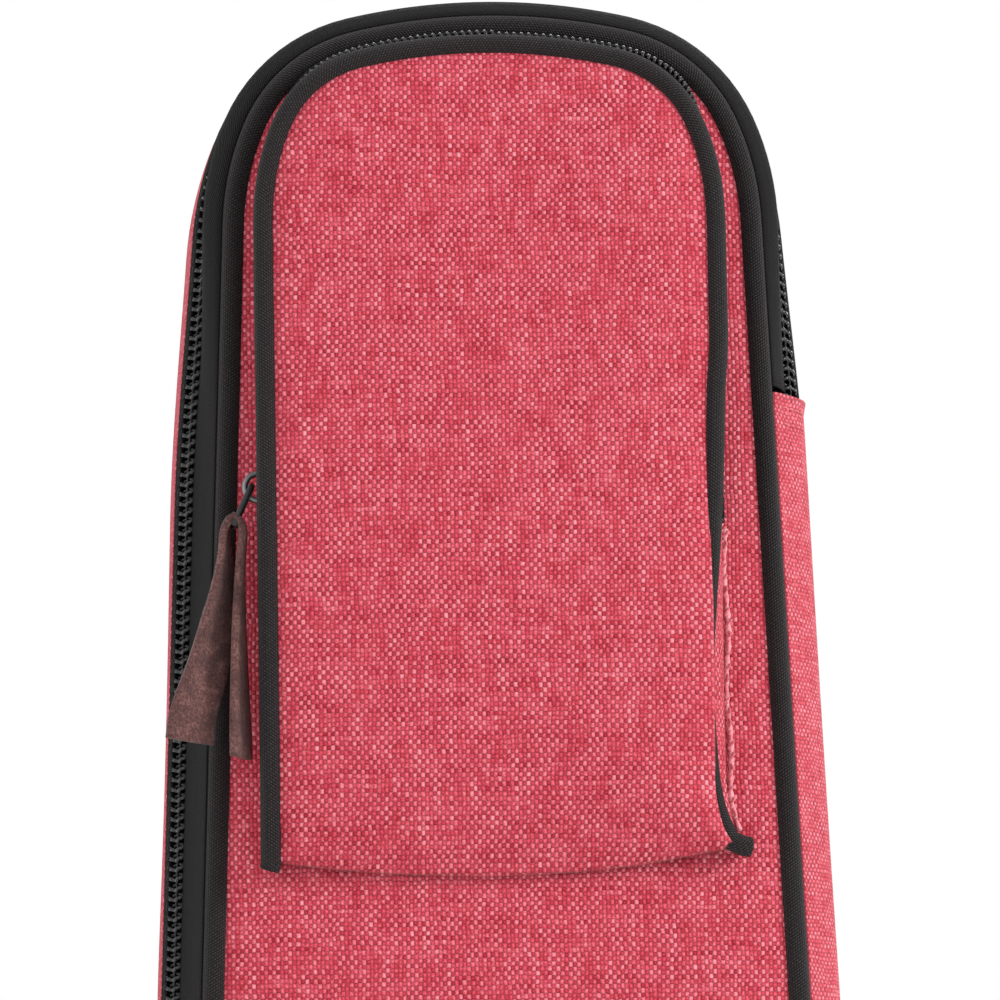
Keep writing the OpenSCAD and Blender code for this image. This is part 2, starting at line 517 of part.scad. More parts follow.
pad_lean = atan2(strap_path[1].x - strap_path[0].x, strap_path[0].y - strap_path[1].y);
yoke_low_z = strap_path[0].y + pad_w / 2 * sin(pad_lean) + 0.85;
yoke_half = strap_path[0].x + pad_w / 2 + 1.16;
module strap_yoke() color("#1f1f21")
  translate([-yoke_half, y_strap, yoke_low_z]) cube([2 * yoke_half, strap_t * 0.6, 30]);
module strap_end_webbing() color("#1f1f21") pair()
  band_on_back([[strap_x, strap_low_z - gap], [strap_x, lock_z + lock_h / 2 + gap]],
    web_w, y_strap + 2, web_t);
// A ladder lock: a plate with two slots that the webbing runs through.
module ladder_locks() color("#151517") pair() translate([strap_x, y_strap, lock_z]) difference() {
  translate([-lock_w / 2, 0, -lock_h / 2]) cube([lock_w, 6, lock_h]);
  for (z = [-5.1, 1.3]) translate([-web_w / 2 - 0.5, -1, z]) cube([web_w + 1, 8, 3.4]);
}
lock_low = lock_z - lock_h / 2;
module lower_webbing() color("#1f1f21") pair()
  band_on_back([[strap_x, lock_low - gap], [strap_x, anchor_z + gap]], web_w - 1, y_strap + 2, web_t);
module strap_anchors() color("#cc5463") pair()
  band_on_back([[strap_x, anchor_z], [strap_x, anchor_z - 26]], web_w + 10, y_strap, 5);

back_skin();
back_foam();
back_lining();
side_skin();
side_foam();
side_lining();
back_piping();
neck_rest();
neck_strap();
hinge_gusset();
zip_tape_rear();
zip_coil_rear();
zip_end_tape();
zip_end_coil();
zip_end_tab();
base_pad();
front_skin();
front_foam();
front_lining();
front_piping();
zip_tape_front();
zip_coil_front();
pocket_lower_panel();
pocket_lower_piping();
pocket_gusset();
pocket_tape_base();
pocket_coil_base();
pocket_zip_ends();
pocket_panel();
pocket_piping();
pocket_tape_flap();
pocket_coil_flap();
pocket_slider();
pocket_link();
pocket_pull();
main_slider();
main_link();
main_pull();
handle_grip();
handle_webbing();
handle_patches();
hang_loop();
strap_yoke();
strap_pads();
strap_end_webbing();
ladder_locks();
lower_webbing();
strap_anchors();
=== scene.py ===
"""Padded ukulele case: the cloth, piping, zips, leather and webbing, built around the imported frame."""

import json
import math

import bmesh
import bpy
import numpy as np
from mathutils import Matrix, Vector


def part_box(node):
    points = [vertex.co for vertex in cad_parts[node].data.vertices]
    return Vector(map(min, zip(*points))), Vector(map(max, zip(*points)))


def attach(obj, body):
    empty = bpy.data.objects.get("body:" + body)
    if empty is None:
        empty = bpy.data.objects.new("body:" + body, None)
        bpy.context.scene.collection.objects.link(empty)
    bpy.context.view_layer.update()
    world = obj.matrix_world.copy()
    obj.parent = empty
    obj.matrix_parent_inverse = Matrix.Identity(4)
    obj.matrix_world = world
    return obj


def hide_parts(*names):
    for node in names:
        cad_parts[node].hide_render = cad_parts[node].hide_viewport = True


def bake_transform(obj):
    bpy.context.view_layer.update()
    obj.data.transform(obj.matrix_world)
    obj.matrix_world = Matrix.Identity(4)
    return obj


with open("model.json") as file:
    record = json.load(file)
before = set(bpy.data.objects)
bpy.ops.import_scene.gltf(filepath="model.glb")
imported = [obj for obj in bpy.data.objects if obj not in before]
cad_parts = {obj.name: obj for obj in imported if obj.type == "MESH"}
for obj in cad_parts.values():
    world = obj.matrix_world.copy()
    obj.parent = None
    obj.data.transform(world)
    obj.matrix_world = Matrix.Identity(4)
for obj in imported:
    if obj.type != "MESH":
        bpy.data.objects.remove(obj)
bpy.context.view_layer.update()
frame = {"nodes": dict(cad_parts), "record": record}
MM = 0.001
rng = np.random.default_rng(7)

# ---------------------------------------------------------------- the seam line, as in the CAD's outline
front_low, front_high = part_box("front_piping")
back_low, back_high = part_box("back_piping")
PIPING_R = (front_high.y - front_low.y) / 2
Y_FRONT = (front_high.y + front_low.y) / 2
Y_BACK = (back_high.y + back_low.y) / 2
Z_HEAD = front_high.z - PIPING_R
Z_SEAM = front_low.z + PIPING_R
BODY_HALF = front_high.x - PIPING_R
HEAD_HALF, HEAD_CORNER_R, BROW_R, BOUT_R, BODY_LINE = 52 * MM, 29.5 * MM, 56 * MM, 75 * MM, 90 * MM
H_TOP, H_CORNER, H_NECK, H_FLARE, H_BODY, H_STOP = 13, 67, 87.8, 50, 86, 114
ZIP_DROP = 74 * MM
FLARE_IN, FLARE_OUT = 80 * MM, 60 * MM
STEP = 2.5 * MM


def sin_d(degrees):
    return math.sin(math.radians(degrees))


def cos_d(degrees):
    return math.cos(math.radians(degrees))


class Outline:
    """The seam line clockwise from the middle of the head. It is sampled by its length s."""

    def __init__(self):
        top_r = (HEAD_HALF - HEAD_CORNER_R * (sin_d(H_CORNER) - sin_d(H_TOP))
                 - BROW_R * (sin_d(H_NECK) - sin_d(H_CORNER))) / sin_d(H_TOP)
        drop = (top_r * (1 - cos_d(H_TOP)) + HEAD_CORNER_R * (cos_d(H_TOP) - cos_d(H_CORNER))
                + BROW_R * (cos_d(H_CORNER) - cos_d(H_NECK)))
        width_left = BODY_HALF - HEAD_HALF - BODY_LINE * cos_d(H_BODY) - BOUT_R * (1 - sin_d(H_BODY))
        drop_left = Z_HEAD - Z_SEAM - drop - BODY_LINE * sin_d(H_BODY) - BOUT_R * (1 + cos_d(H_BODY))
        flare_dx = FLARE_IN * (sin_d(H_NECK) - sin_d(H_FLARE)) + FLARE_OUT * (sin_d(H_BODY) - sin_d(H_FLARE))
        flare_dz = FLARE_IN * (cos_d(H_FLARE) - cos_d(H_NECK)) + FLARE_OUT * (cos_d(H_FLARE) - cos_d(H_BODY))
        flare = ((width_left * sin_d(H_NECK) - drop_left * cos_d(H_NECK))
                 / (flare_dx * sin_d(H_NECK) - flare_dz * cos_d(H_NECK)))
        straight = (drop_left - flare * flare_dz) / sin_d(H_NECK)
        brow = (ZIP_DROP - drop) / sin_d(H_NECK)
        self.s, self.x, self.z, self.h = [0.0], [0.0], [Z_HEAD], [0.0]
        self.marks = {}
        self.arc(top_r, 0, H_TOP)
        self.arc(HEAD_CORNER_R, H_TOP, H_CORNER)
        self.arc(BROW_R, H_CORNER, H_NECK, "brow")
        self.line(brow, H_NECK, "zip_top")
        self.line(straight - brow, H_NECK, "neck")
        self.arc(-FLARE_IN * flare, H_NECK, H_FLARE, "waist")
        self.arc(FLARE_OUT * flare, H_FLARE, H_BODY, "shoulder")
        self.line(BODY_LINE, H_BODY, "hip")
        self.arc(BOUT_R, H_BODY, H_STOP, "stop")
        self.arc(BOUT_R, H_STOP, 180, "bottom")
        self.line(self.x[-1], 180, "base")
        half = self.s[-1]
        for i in range(len(self.s) - 2, -1, -1):
            self.s.append(2 * half - self.s[i])
            self.x.append(-self.x[i])
            self.z.append(self.z[i])
            self.h.append(360 - self.h[i])
        self.half, self.length = half, 2 * half

    def arc(self, r, h0, h1, mark=None):
        x, z, s = self.x[-1], self.z[-1], self.s[-1]
        length = abs(r * math.radians(h1 - h0))
        n = max(2, round(length / STEP))
        for i in range(1, n + 1):
            h = h0 + (h1 - h0) * i / n
            self.x.append(x + r * (sin_d(h) - sin_d(h0)))
            self.z.append(z + r * (cos_d(h) - cos_d(h0)))
            self.s.append(s + length * i / n)
            self.h.append(h)
        self.marks[mark] = self.s[-1]

    def line(self, length, h, mark=None):
        x, z, s = self.x[-1], self.z[-1], self.s[-1]
        n = max(1, round(length / STEP))
        for i in range(1, n + 1):
            self.x.append(x + length * cos_d(h) * i / n)
            self.z.append(z - length * sin_d(h) * i / n)
            self.s.append(s + length * i / n)
            self.h.append(h)
        self.marks[mark] = self.s[-1]

    def sample(self, s):
        """x, z and the outward direction's x and z at each length in s."""
        s = np.mod(s, self.length)
        h = np.radians(np.interp(s, self.s, self.h))
        return np.interp(s, self.s, self.x), np.interp(s, self.s, self.z), np.sin(h), np.cos(h)

    def half_width(self, z):
        """The seam's half width at height z, beside the head and neck."""
        upper = np.array(self.s) < self.marks["hip"]
        return np.interp(-np.asarray(z, float), -np.array(self.z)[upper], np.array(self.x)[upper])


seam = Outline()
S_ZIP_TOP, S_HIP, S_STOP = seam.marks["zip_top"], seam.marks["hip"], seam.marks["stop"]
S_BOTTOM = seam.half
RING = S_BOTTOM + np.arange(0, seam.length, STEP)  # the whole ring, from the bottom round to it
ZIP_RUN = np.arange(S_STOP, S_ZIP_TOP + seam.length, STEP)  # the part of the ring that the lid's zip opens
ZIP_RUN = np.append(ZIP_RUN, S_ZIP_TOP + seam.length)


# ---------------------------------------------------------------- mesh helpers
def make_mesh(name, verts, faces, cloth=None, smooth=True):
    mesh = bpy.data.meshes.new(name)
    mesh.from_pydata(np.asarray(verts, float).reshape(-1, 3).tolist(), [], faces)
    if cloth is not None:
        layer = mesh.attributes.new("cloth", "FLOAT_VECTOR", "POINT")
        layer.data.foreach_set("vector", np.asarray(cloth, np.float32).reshape(-1))
    if smooth:
        mesh.shade_smooth()
    bm = bmesh.new()
    bm.from_mesh(mesh)
    bmesh.ops.recalc_face_normals(bm, faces=bm.faces)
    bm.to_mesh(mesh)
    bm.free()
    obj = bpy.data.objects.new(name, mesh)
    bpy.context.scene.collection.objects.link(obj)
    return obj


def ring_faces(n, m, closed=False, caps=True, start=0):
    """Faces between n rings of m points each. The last ring joins the first, or both ends are capped."""
    faces = []
    for i in range(n if closed else n - 1):
        a, b = start + i * m, start + (i + 1) % n * m
        faces += [(a + j, b + j, b + (j + 1) % m, a + (j + 1) % m) for j in range(m)]
    if caps and not closed:
        faces += [tuple(range(start, start + m)), tuple(range(start + (n - 1) * m, start + n * m))]
    return faces


def lengths(points):
    """Length along a line, at each of its points."""
    return np.concatenate([[0], np.cumsum(np.linalg.norm(np.diff(points, axis=0), axis=1))])


def unit(rows):
    return rows / np.linalg.norm(rows, axis=1)[:, None]


def angles(n):
    return np.arange(n) * 2 * math.pi / n


def cloth_grid(along, across):
    """Cloth coordinates of a grid: along has one length for each ring, across one for each point of it."""
    across = np.asarray(across)
    along = np.broadcast_to(np.asarray(along)[:, None], (len(along), across.shape[-1]))
    return np.stack([along, np.broadcast_to(across, along.shape), 0 * along], -1)


def on_seam(s, out, y):
    """3D points at each length in s, moved out from the seam."""
    x, z, nx, nz = seam.sample(s)
    return np.stack([x + out * nx, y + 0 * x, z + out * nz], 1)


def thicken(points, t):
    """A closed profile: an open line of (outward, y) points, and the same line t further in."""
    points = np.asarray(points, float)
    along = unit(np.gradient(points, axis=0))
    inward = np.stack([-along[:, 1], along[:, 0]], 1)
    if inward[len(points) // 2, 0] > 0:
        inward = -inward
    return np.concatenate([points, (points + t * inward)[::-1]])


def sweep(name, s, profile, closed=False):
    """A solid whose closed (outward, y) profile runs along the seam. The profile may differ at each s."""
    x, z, nx, nz = seam.sample(s)
    profile = np.asarray(profile, float)
    if profile.ndim == 2:
        profile = np.broadcast_to(profile, (len(s), *profile.shape))
    out, y = profile[..., 0], profile[..., 1]
    verts = np.stack([x[:, None] + out * nx[:, None], y, z[:, None] + out * nz[:, None]], -1)
    n, m = out.shape
    return make_mesh(name, verts, ring_faces(n, m, closed), cloth_grid(s, lengths(profile[n // 2])))


def circle(centre, r, n):
    a = angles(n)
    return np.stack([centre[0] + r * np.cos(a), centre[1] + r * np.sin(a)], 1)


def frames(points):
    """Tangent and two directions across, at each point of a 3D line, turning as little as they can."""
    points = np.asarray(points, float)
    tangent = unit(np.gradient(points, axis=0))
    side = np.zeros_like(points)
    first = np.array([0.0, 1.0, 0.0]) if abs(tangent[0, 1]) < 0.9 else np.array([1.0, 0.0, 0.0])
    for i, t in enumerate(tangent):
        first = first - t * first.dot(t)
        first /= np.linalg.norm(first)
        side[i] = first
    return tangent, side, np.cross(tangent, side)


def tube(name, points, r, sides):
    """A round cord along 3D points. r may differ at each point."""
    points = np.asarray(points, float)
    _, side, up = frames(points)
    r = np.broadcast_to(r, (len(points),))
    a = angles(sides)
    verts = (points[:, None] + (r[:, None] * np.cos(a))[..., None] * side[:, None]
             + (r[:, None] * np.sin(a))[..., None] * up[:, None])
    return make_mesh(name, verts, ring_faces(len(points), sides), cloth_grid(lengths(points), a * np.mean(r)))


def ribbon(name, points, across, width, thickness, bend=0.0):
    """A flat strap along 3D points; across is the width's direction at each point."""
    points = np.asarray(points, float)
    n = len(points)
    across = np.broadcast_to(np.asarray(across, float), (n, 3))
    tangent, _, _ = frames(points)
    across = unit(across - tangent * np.sum(across * tangent, 1)[:, None])
    normal = np.cross(tangent, across)
    width = np.broadcast_to(width, (n,))
    u = np.array([-1, -0.94, -0.6, -0.2, 0.2, 0.6, 0.94, 1])
    top = np.array([0.25, 1, 1, 1, 1, 1, 1, 0.25]) * thickness / 2
    ring_u = np.concatenate([u, u[::-1]])
    ring_t = np.concatenate([top, -top[::-1]])
    curve = bend * (1 - ring_u ** 2)
    verts = (points[:, None] + across[:, None] * (ring_u * width[:, None] / 2)[..., None]
             + normal[:, None] * (ring_t + curve)[None, :, None])
    cloth = cloth_grid(lengths(points), ring_u * width[:, None] / 2 + 0.05)
    return make_mesh(name, verts, ring_faces(n, len(ring_u)), cloth)


def smooth_line(points, step=1.5 * MM):
    """A Catmull-Rom curve through 3D points, resampled at about step."""
    p = np.asarray(points, float)
    p = np.concatenate([[2 * p[0] - p[1]], p, [2 * p[-1] - p[-2]]])
    out = []
    for i in range(1, len(p) - 2):
        n = max(2, int(np.linalg.norm(p[i + 1] - p[i]) / step))
        for k in range(n):
            t = k / n
            out.append(0.5 * (2 * p[i] + (p[i + 1] - p[i - 1]) * t
                              + (2 * p[i - 1] - 5 * p[i] + 4 * p[i + 1] - p[i + 2]) * t * t
                              + (3 * p[i] - p[i - 1] - 3 * p[i + 1] + p[i + 2]) * t ** 3))
    out.append(p[-2])
    return np.array(out)


def stitches(name, line, out, pitch=3.2 * MM, length=2.2 * MM, r=0.23 * MM, slant=0.0):
    """A row of thread stitches along a 3D line, each a small bowed capsule that stands out along out."""
    line = np.asarray(line, float)
    d = lengths(line)
    out = np.broadcast_to(np.asarray(out, float), line.shape)
    verts, faces, cloth = [], [], []
    sides, rings = 6, 6
    for centre in np.arange(pitch / 2, d[-1], pitch):
        at = centre + np.linspace(-0.5, 0.5, rings) * length
        p = np.stack([np.interp(at, d, line[:, k]) for k in range(3)], 1)
        o = np.array([np.interp(centre, d, out[:, k]) for k in range(3)])
        o /= np.linalg.norm(o)
        t = p[-1] - p[0]
        t /= np.linalg.norm(t)
        b = np.cross(t, o)
        bow = 1 - np.linspace(-1, 1, rings) ** 2
        radius = r * np.array([0.35, 0.85, 1, 1, 0.85, 0.35])
        start = len(verts)
        for k in range(rings):
            mid = p[k] + o * r * (bow[k] * 1.1 - 0.55) + b * slant * (k / (rings - 1) - 0.5)
            for j in range(sides):
                a = 2 * math.pi * j / sides
                verts.append(mid + radius[k] * (math.cos(a) * o + math.sin(a) * b))
                cloth.append((at[k] + 0.01, a * r, 0))
        faces += ring_faces(rings, sides, start=start)
    return make_mesh(name, verts, faces, cloth)


def coil(name, s0, s1, centre, direction, width, height, pitch, wire, flip=1):
    """One row of a coil zip: a flattened helix along the seam. direction and centre, or centre(s), are
    (outward, y)."""
    per_turn, sides = 10, 6
    turns = (s1 - s0) / pitch
    phi = np.arange(0, turns * per_turn) * 2 * math.pi / per_turn
    s = s0 + pitch * phi / (2 * math.pi)
    _, _, nx, nz = seam.sample(s)
    direction = np.asarray(direction) / np.linalg.norm(direction)
    normal = np.array([direction[1], -direction[0]])
    across = flip * (width / 2 - wire) * np.cos(phi)
    rise = (height / 2 - wire) * np.sin(phi)
    centre = np.broadcast_to(centre(s) if callable(centre) else np.asarray(centre, float), (len(s), 2))
    out = centre[:, 0] + across * direction[0] + rise * normal[0]
    y = centre[:, 1] + across * direction[1] + rise * normal[1]
    points = on_seam(s, out, y)
    tangent = unit(np.gradient(points, axis=0))
    side = unit(np.cross(tangent, np.stack([nz, 0 * nx, -nx], 1)))
    up = np.cross(side, tangent)
    a = angles(sides)[None, :, None]
    verts = points[:, None] + wire * (np.cos(a) * side[:, None] + np.sin(a) * up[:, None])
    return make_mesh(name, verts, ring_faces(len(points), sides))


# ---------------------------------------------------------------- materials
class Paint:
    """A node material with short calls for its nodes."""

    def __init__(self, name, rough, colour, metal=0.0, sheen=0.0, sheen_rough=0.5, specular=0.5):
        self.mat = bpy.data.materials.new(name)
        self.mat.use_nodes = True
        self.tree = self.mat.node_tree
        self.bsdf = self.tree.nodes["Principled BSDF"]
        for socket, value in (("Roughness", rough), ("Base Color", (*colour, 1)), ("Metallic", metal),
                              ("Sheen Weight", sheen), ("Sheen Roughness", sheen_rough),
                              ("Specular IOR Level", specular)):
            self.bsdf.inputs[socket].default_value = value
        if sheen:
            self.bsdf.inputs["Sheen Tint"].default_value = (*[0.5 + 0.5 * c for c in colour], 1)

    def node(self, kind, **inputs):
        node = self.tree.nodes.new(kind)
        for socket, value in inputs.items():
            self.plug(node.inputs[socket.replace("_", " ")], value)
        return node

    def plug(self, socket, value):
        if hasattr(value, "is_output"):
            self.tree.links.new(value, socket)
        else:
            socket.default_value = value

    def math(self, operation, *values):
        node = self.tree.nodes.new("ShaderNodeMath")
        node.operation = operation
        for socket, value in zip(node.inputs, values):
            self.plug(socket, value)
        return node.outputs[0]

    def mul(self, a, b):
        return self.math("MULTIPLY", a, b)

    def mad(self, a, factor, shift):
        return self.math("MULTIPLY_ADD", a, factor, shift)

    def cloth_uv(self, u_size, v_size):
        """The piece's own cloth coordinates, in numbers of u_size and v_size."""
        source = self.node("ShaderNodeAttribute")
        source.attribute_name = "cloth"
        parts = self.node("ShaderNodeSeparateXYZ", Vector=source.outputs["Vector"])
        return (self.math("DIVIDE", parts.outputs[0], u_size), self.math("DIVIDE", parts.outputs[1], v_size))

    def place(self):
        return self.node("ShaderNodeTexCoord").outputs["Object"]

    def noise(self, vector, scale, detail=3.0, rough=0.55, distortion=0.0):
        return self.node("ShaderNodeTexNoise", Vector=vector, Scale=scale, Detail=detail, Roughness=rough,
                         Distortion=distortion).outputs["Fac"]

    def vector(self, x, y, z=0.0):
        return self.node("ShaderNodeCombineXYZ", X=x, Y=y, Z=z).outputs[0]

    def blend(self, factor, a, b):
        """a where factor is 0 and b where it is 1, for plain numbers."""
        node = self.tree.nodes.new("ShaderNodeMix")
        self.plug(node.inputs[0], factor)
        self.plug(node.inputs[2], a)
        self.plug(node.inputs[3], b)
        return node.outputs[0]

    def ramp(self, factor, *stops):
        node = self.tree.nodes.new("ShaderNodeValToRGB")
        self.plug(node.inputs[0], factor)
        elements = node.color_ramp.elements
        while len(elements) < len(stops):
            elements.new(0.5)
        for element, (place, colour) in zip(elements, stops):
            element.position = place
            element.color = (*colour, 1)
        return node.outputs[0]

    def shade(self, colour, factor):
        """colour darkened or lightened by a plain number."""
        node = self.tree.nodes.new("ShaderNodeVectorMath")
        node.operation = "SCALE"
        self.plug(node.inputs[0], colour)
        self.plug(node.inputs["Scale"], factor)
        return node.outputs[0]

    def colour(self, output):
        self.tree.links.new(output, self.bsdf.inputs["Base Color"])

    def rough(self, output):
        self.tree.links.new(output, self.bsdf.inputs["Roughness"])

    def bump(self, height, distance, strength=1.0):
        node = self.node("ShaderNodeBump", Height=height, Distance=distance, Strength=strength)
        self.tree.links.new(node.outputs[0], self.bsdf.inputs["Normal"])


def weave(p, u, v):
    """Height, yarn tone and which yarn is on top, for a plain weave with one yarn to each unit of u and v."""
    iu, iv = p.math("FLOOR", u), p.math("FLOOR", v)
    su = p.math("SINE", p.mul(p.math("FRACT", u), math.pi))
    sv = p.math("SINE", p.mul(p.math("FRACT", v), math.pi))
    top = p.math("GREATER_THAN", p.math("FRACT", p.mul(p.math("ADD", iu, iv), 0.5)), 0.25)
    warp = p.mul(p.math("POWER", su, 0.8), p.mad(sv, 0.65, 0.35))
    weft = p.mul(p.math("POWER", sv, 0.8), p.mad(su, 0.65, 0.35))
    warp_tone = p.noise(p.vector(p.mul(iu, 7.31), p.mul(v, 0.13)), 1.0, 1.0)
    weft_tone = p.noise(p.vector(p.mul(u, 0.13), p.mul(iv, 7.31), 9.0), 1.0, 1.0)
    gap = p.math("POWER", su, 0.3)
    # the materials also scale their colour by this height, so the gaps and the lower weft cells become
    # painted shade as well as bump
    height = p.mul(p.blend(top, warp, p.mul(weft, 0.8)), gap)
    return height, p.blend(top, warp_tone, weft_tone), top


def cloth_material(name, deep, middle, pale, sheen=0.18):
    """Heathered cloth: every yarn runs from deep to pale along its length."""
    p = Paint(name, 0.85, middle, sheen=sheen, sheen_rough=0.45, specular=0.2)
    u, v = p.cloth_uv(0.8 * MM, 0.914 * MM)
    wobble = p.mad(p.noise(p.place(), 130, 3), 1.5, -0.75)
    height, tone, top = weave(p, p.math("ADD", u, wobble), p.math("SUBTRACT", v, wobble))
    tone = p.mad(p.math("SUBTRACT", tone, 0.5), 0.62, p.blend(top, 0.58, 0.40))
    fibre = p.noise(p.place(), 2600, 2)
    tone = p.mad(p.math("SUBTRACT", fibre, 0.5), 0.5, tone)
    colour = p.ramp(tone, (0.25, deep), (0.5, middle), (0.78, pale))
    # painted light and shade: the colour is scaled by the weave's height, darker in the gaps between yarns
    # and on the lower weft cells, lighter on the yarn tops
    p.colour(p.shade(colour, p.mad(height, 0.72, 0.56)))
    p.bump(p.mad(fibre, 0.25, height), 0.25 * MM, 0.75)
    return p.mat


def piping_material():
    p = Paint("piping_weave", 0.7, (0.012, 0.008, 0.009), sheen=0.1, sheen_rough=0.4, specular=0.25)
    u, v = p.cloth_uv(0.62 * MM, 0.5 * MM)
    height, tone, _ = weave(p, p.math("ADD", u, p.mul(v, 0.5)), v)
    fuzz = p.noise(p.place(), 3000, 2)
    colour = p.ramp(tone, (0.3, (0.018, 0.013, 0.014)), (0.7, (0.034, 0.026, 0.027)))
    # painted light and shade: by the weave's height the yarn tops are lit up to about twice the colour and
    # the gaps between them go almost black
    p.colour(p.shade(colour, p.mad(p.math("POWER", height, 2.0), 1.9, 0.05)))
    p.bump(p.mad(fuzz, 0.3, height), 0.3 * MM, 1.0)
    return p.mat


def tape_material(name, width):
    """Herringbone tape: chevrons that meet on its middle line."""
    p = Paint(name, 0.75, (0.015, 0.013, 0.013), sheen=0.04, specular=0.12)
    u, v = p.cloth_uv(0.86 * MM, 1 * MM)
    lean = p.math("ABSOLUTE", p.math("SUBTRACT", v, width / (2 * MM)))
    phase = p.mad(lean, 1.9, u)
    rib = p.math("SINE", p.mul(phase, 2 * math.pi))
    rib = p.mad(rib, 0.5, 0.5)
    spine = p.math("LESS_THAN", lean, 0.22)
    height = p.mul(rib, p.math("SUBTRACT", 1.0, p.mul(spine, 0.8)))
    fuzz = p.noise(p.place(), 1800, 2)
    # painted shade: the colour follows the ribs' height, so the grooves between the chevron ribs and the
    # lowered middle line are darker and the rib crests lighter
    colour = p.ramp(p.mad(p.math("SUBTRACT", fuzz, 0.5), 0.5, height),
                    (0.1, (0.0005, 0.0005, 0.0006)), (0.95, (0.014, 0.012, 0.0125)))
    p.colour(colour)
    p.bump(height, 0.3 * MM, 1.0)
    return p.mat


def ribbed_material(name, deep, pale, pitch=1.1 * MM):
    """Webbing: heavy ribs across its width and fine yarns along it."""
    p = Paint(name, 0.6, pale, sheen=0.08, specular=0.3)
    u, v = p.cloth_uv(pitch, 0.9 * MM)
    height, tone, _ = weave(p, u, v)
    # painted shade: the colour is scaled by the weave's height, darker between the ribs and yarns and lighter
    # on their tops
    p.colour(p.shade(p.ramp(tone, (0.3, deep), (0.7, pale)), p.mad(height, 0.8, 0.4)))
    p.bump(height, 0.3 * MM, 0.9)
    return p.mat


def leather_material():
    p = Paint("leather_pull", 0.62, (0.135, 0.05, 0.042), sheen=0.25, sheen_rough=0.5, specular=0.35)
    place = p.place()
    creases = p.noise(place, 240, 4, 0.6, 0.8)
    grain = p.node("ShaderNodeTexVoronoi", Vector=place, Scale=1500.0).outputs["Distance"]
    patches = p.noise(place, 90, 3)
    tone = p.mad(creases, 0.5, p.mul(patches, 0.5))
    speck = p.noise(place, 1900, 4, 0.7)
    tone = p.mad(p.math("SUBTRACT", speck, 0.5), 0.9, tone)
    dark, middle, worn = (0.035, 0.011, 0.011), (0.105, 0.036, 0.032), (0.25, 0.115, 0.10)
    p.colour(p.ramp(tone, (0.3, dark), (0.5, middle), (0.7, worn)))
    p.rough(p.mad(creases, 0.3, 0.45))
    p.bump(p.math("ADD", p.mad(grain, 0.4, creases), speck), 0.5 * MM, 1.0)
    return p.mat


def nap_material(name, deep, pale, scale, depth, rough=0.9, sheen=0.3):
    """Brushed lining, foam or felt: fine and coarse noise."""
    p = Paint(name, rough, pale, sheen=sheen, specular=0.2)
    place = p.place()
    fine, coarse = p.noise(place, scale, 3), p.noise(place, scale / 14, 3)
    tone = p.mad(fine, 0.6, p.mul(coarse, 0.4))
    p.colour(p.ramp(tone, (0.35, deep), (0.65, pale)))
    p.bump(fine, depth, 0.7)
    return p.mat


def hard_material(name, colour, rough, metal=0.0, wear=(0.8, 1.15), scale=600, depth=0.03 * MM):
    """Metal or moulded plastic with small changes of tone, gloss and surface."""
    p = Paint(name, rough, colour, metal=metal)
    place = p.place()
    fine, coarse = p.noise(place, scale, 4), p.noise(place, scale / 8, 3)
    worn, bright = [c * wear[0] for c in colour], [min(1, c * wear[1]) for c in colour]
    p.colour(p.ramp(coarse, (0.35, worn), (0.65, bright)))
    p.rough(p.mad(fine, 0.25, rough - 0.12))
    p.bump(fine, depth, 0.5)
    return p.mat


RED, DEEP_RED, PALE_RED = (0.58, 0.055, 0.086), (0.33, 0.012, 0.026), (0.86, 0.27, 0.32)
CLOTH = cloth_material("red_heather", DEEP_RED, RED, PALE_RED)
PIPING = piping_material()
TAPE_W = 12.4 * MM
TAPE = tape_material("zip_tape_herringbone", TAPE_W)
NARROW_TAPE = tape_material("zip_tape_narrow", 6 * MM)
WEBBING = ribbed_material("black_webbing", (0.005, 0.005, 0.006), (0.024, 0.023, 0.025))
GRIP = ribbed_material("black_grip_cloth", (0.006, 0.006, 0.007), (0.03, 0.028, 0.03), 0.7 * MM)
COIL = hard_material("zip_coil_satin", (0.0025, 0.0025, 0.003), 0.24, wear=(0.7, 1.5))
NICKEL = hard_material("worn_nickel", (0.27, 0.27, 0.28), 0.34, metal=1.0, wear=(0.45, 1.15), scale=900)
BLACK_METAL = hard_material("black_link", (0.02, 0.02, 0.02), 0.35, metal=0.6, wear=(0.6, 2.2), scale=900)
PLASTIC = hard_material("black_buckle", (0.02, 0.02, 0.021), 0.42, scale=1500)
RUBBER = hard_material("base_rubber", (0.02, 0.02, 0.02), 0.6, scale=800, depth=0.1 * MM)
LEATHER = leather_material()
LINING = nap_material("dark_lining", (0.018, 0.018, 0.021), (0.055, 0.055, 0.062), 1500, 0.3 * MM)
FOAM = nap_material("dark_foam", (0.035, 0.035, 0.038), (0.07, 0.07, 0.075), 2500, 0.25 * MM)
THREAD = nap_material("red_thread", (0.42, 0.05, 0.07), (0.75, 0.22, 0.26), 3000, 0.08 * MM)
PALE_THREAD = nap_material("bright_thread", (0.55, 0.12, 0.15), (0.86, 0.42, 0.45), 3000, 0.08 * MM)
DARK_THREAD = nap_material("dark_thread", (0.01, 0.01, 0.01), (0.05, 0.045, 0.045), 3000, 0.08 * MM)


def finish(obj, material, body=None, nodes=(), blend=None):
    """Gives a piece its material and its body, and hides the CAD nodes it replaces. With blend, its place is
    only baked into its mesh and it gets no body.
    """
    obj.data.materials.clear()
    obj.data.materials.append(material)
    if blend:
        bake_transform(obj)
    else:
        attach(obj, body)
    if nodes:
        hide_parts(*nodes)


def sew(name, line, out, body, *size, slot="cloth", thread=THREAD, blend=None):
    """A row of stitches; size is what stitches() takes after out."""
    finish(stitches(name, line, out, *size), thread, body, blend=blend)


def loft(name, rings, cloth=None, smooth=True):
    """A capped solid through rings of points."""
    return make_mesh(name, rings, ring_faces(len(rings), len(rings[0])), cloth, smooth)


def squared(wave, power):
    """A sine or cosine pushed out towards a square."""
    return np.sign(wave) * np.abs(wave) ** power


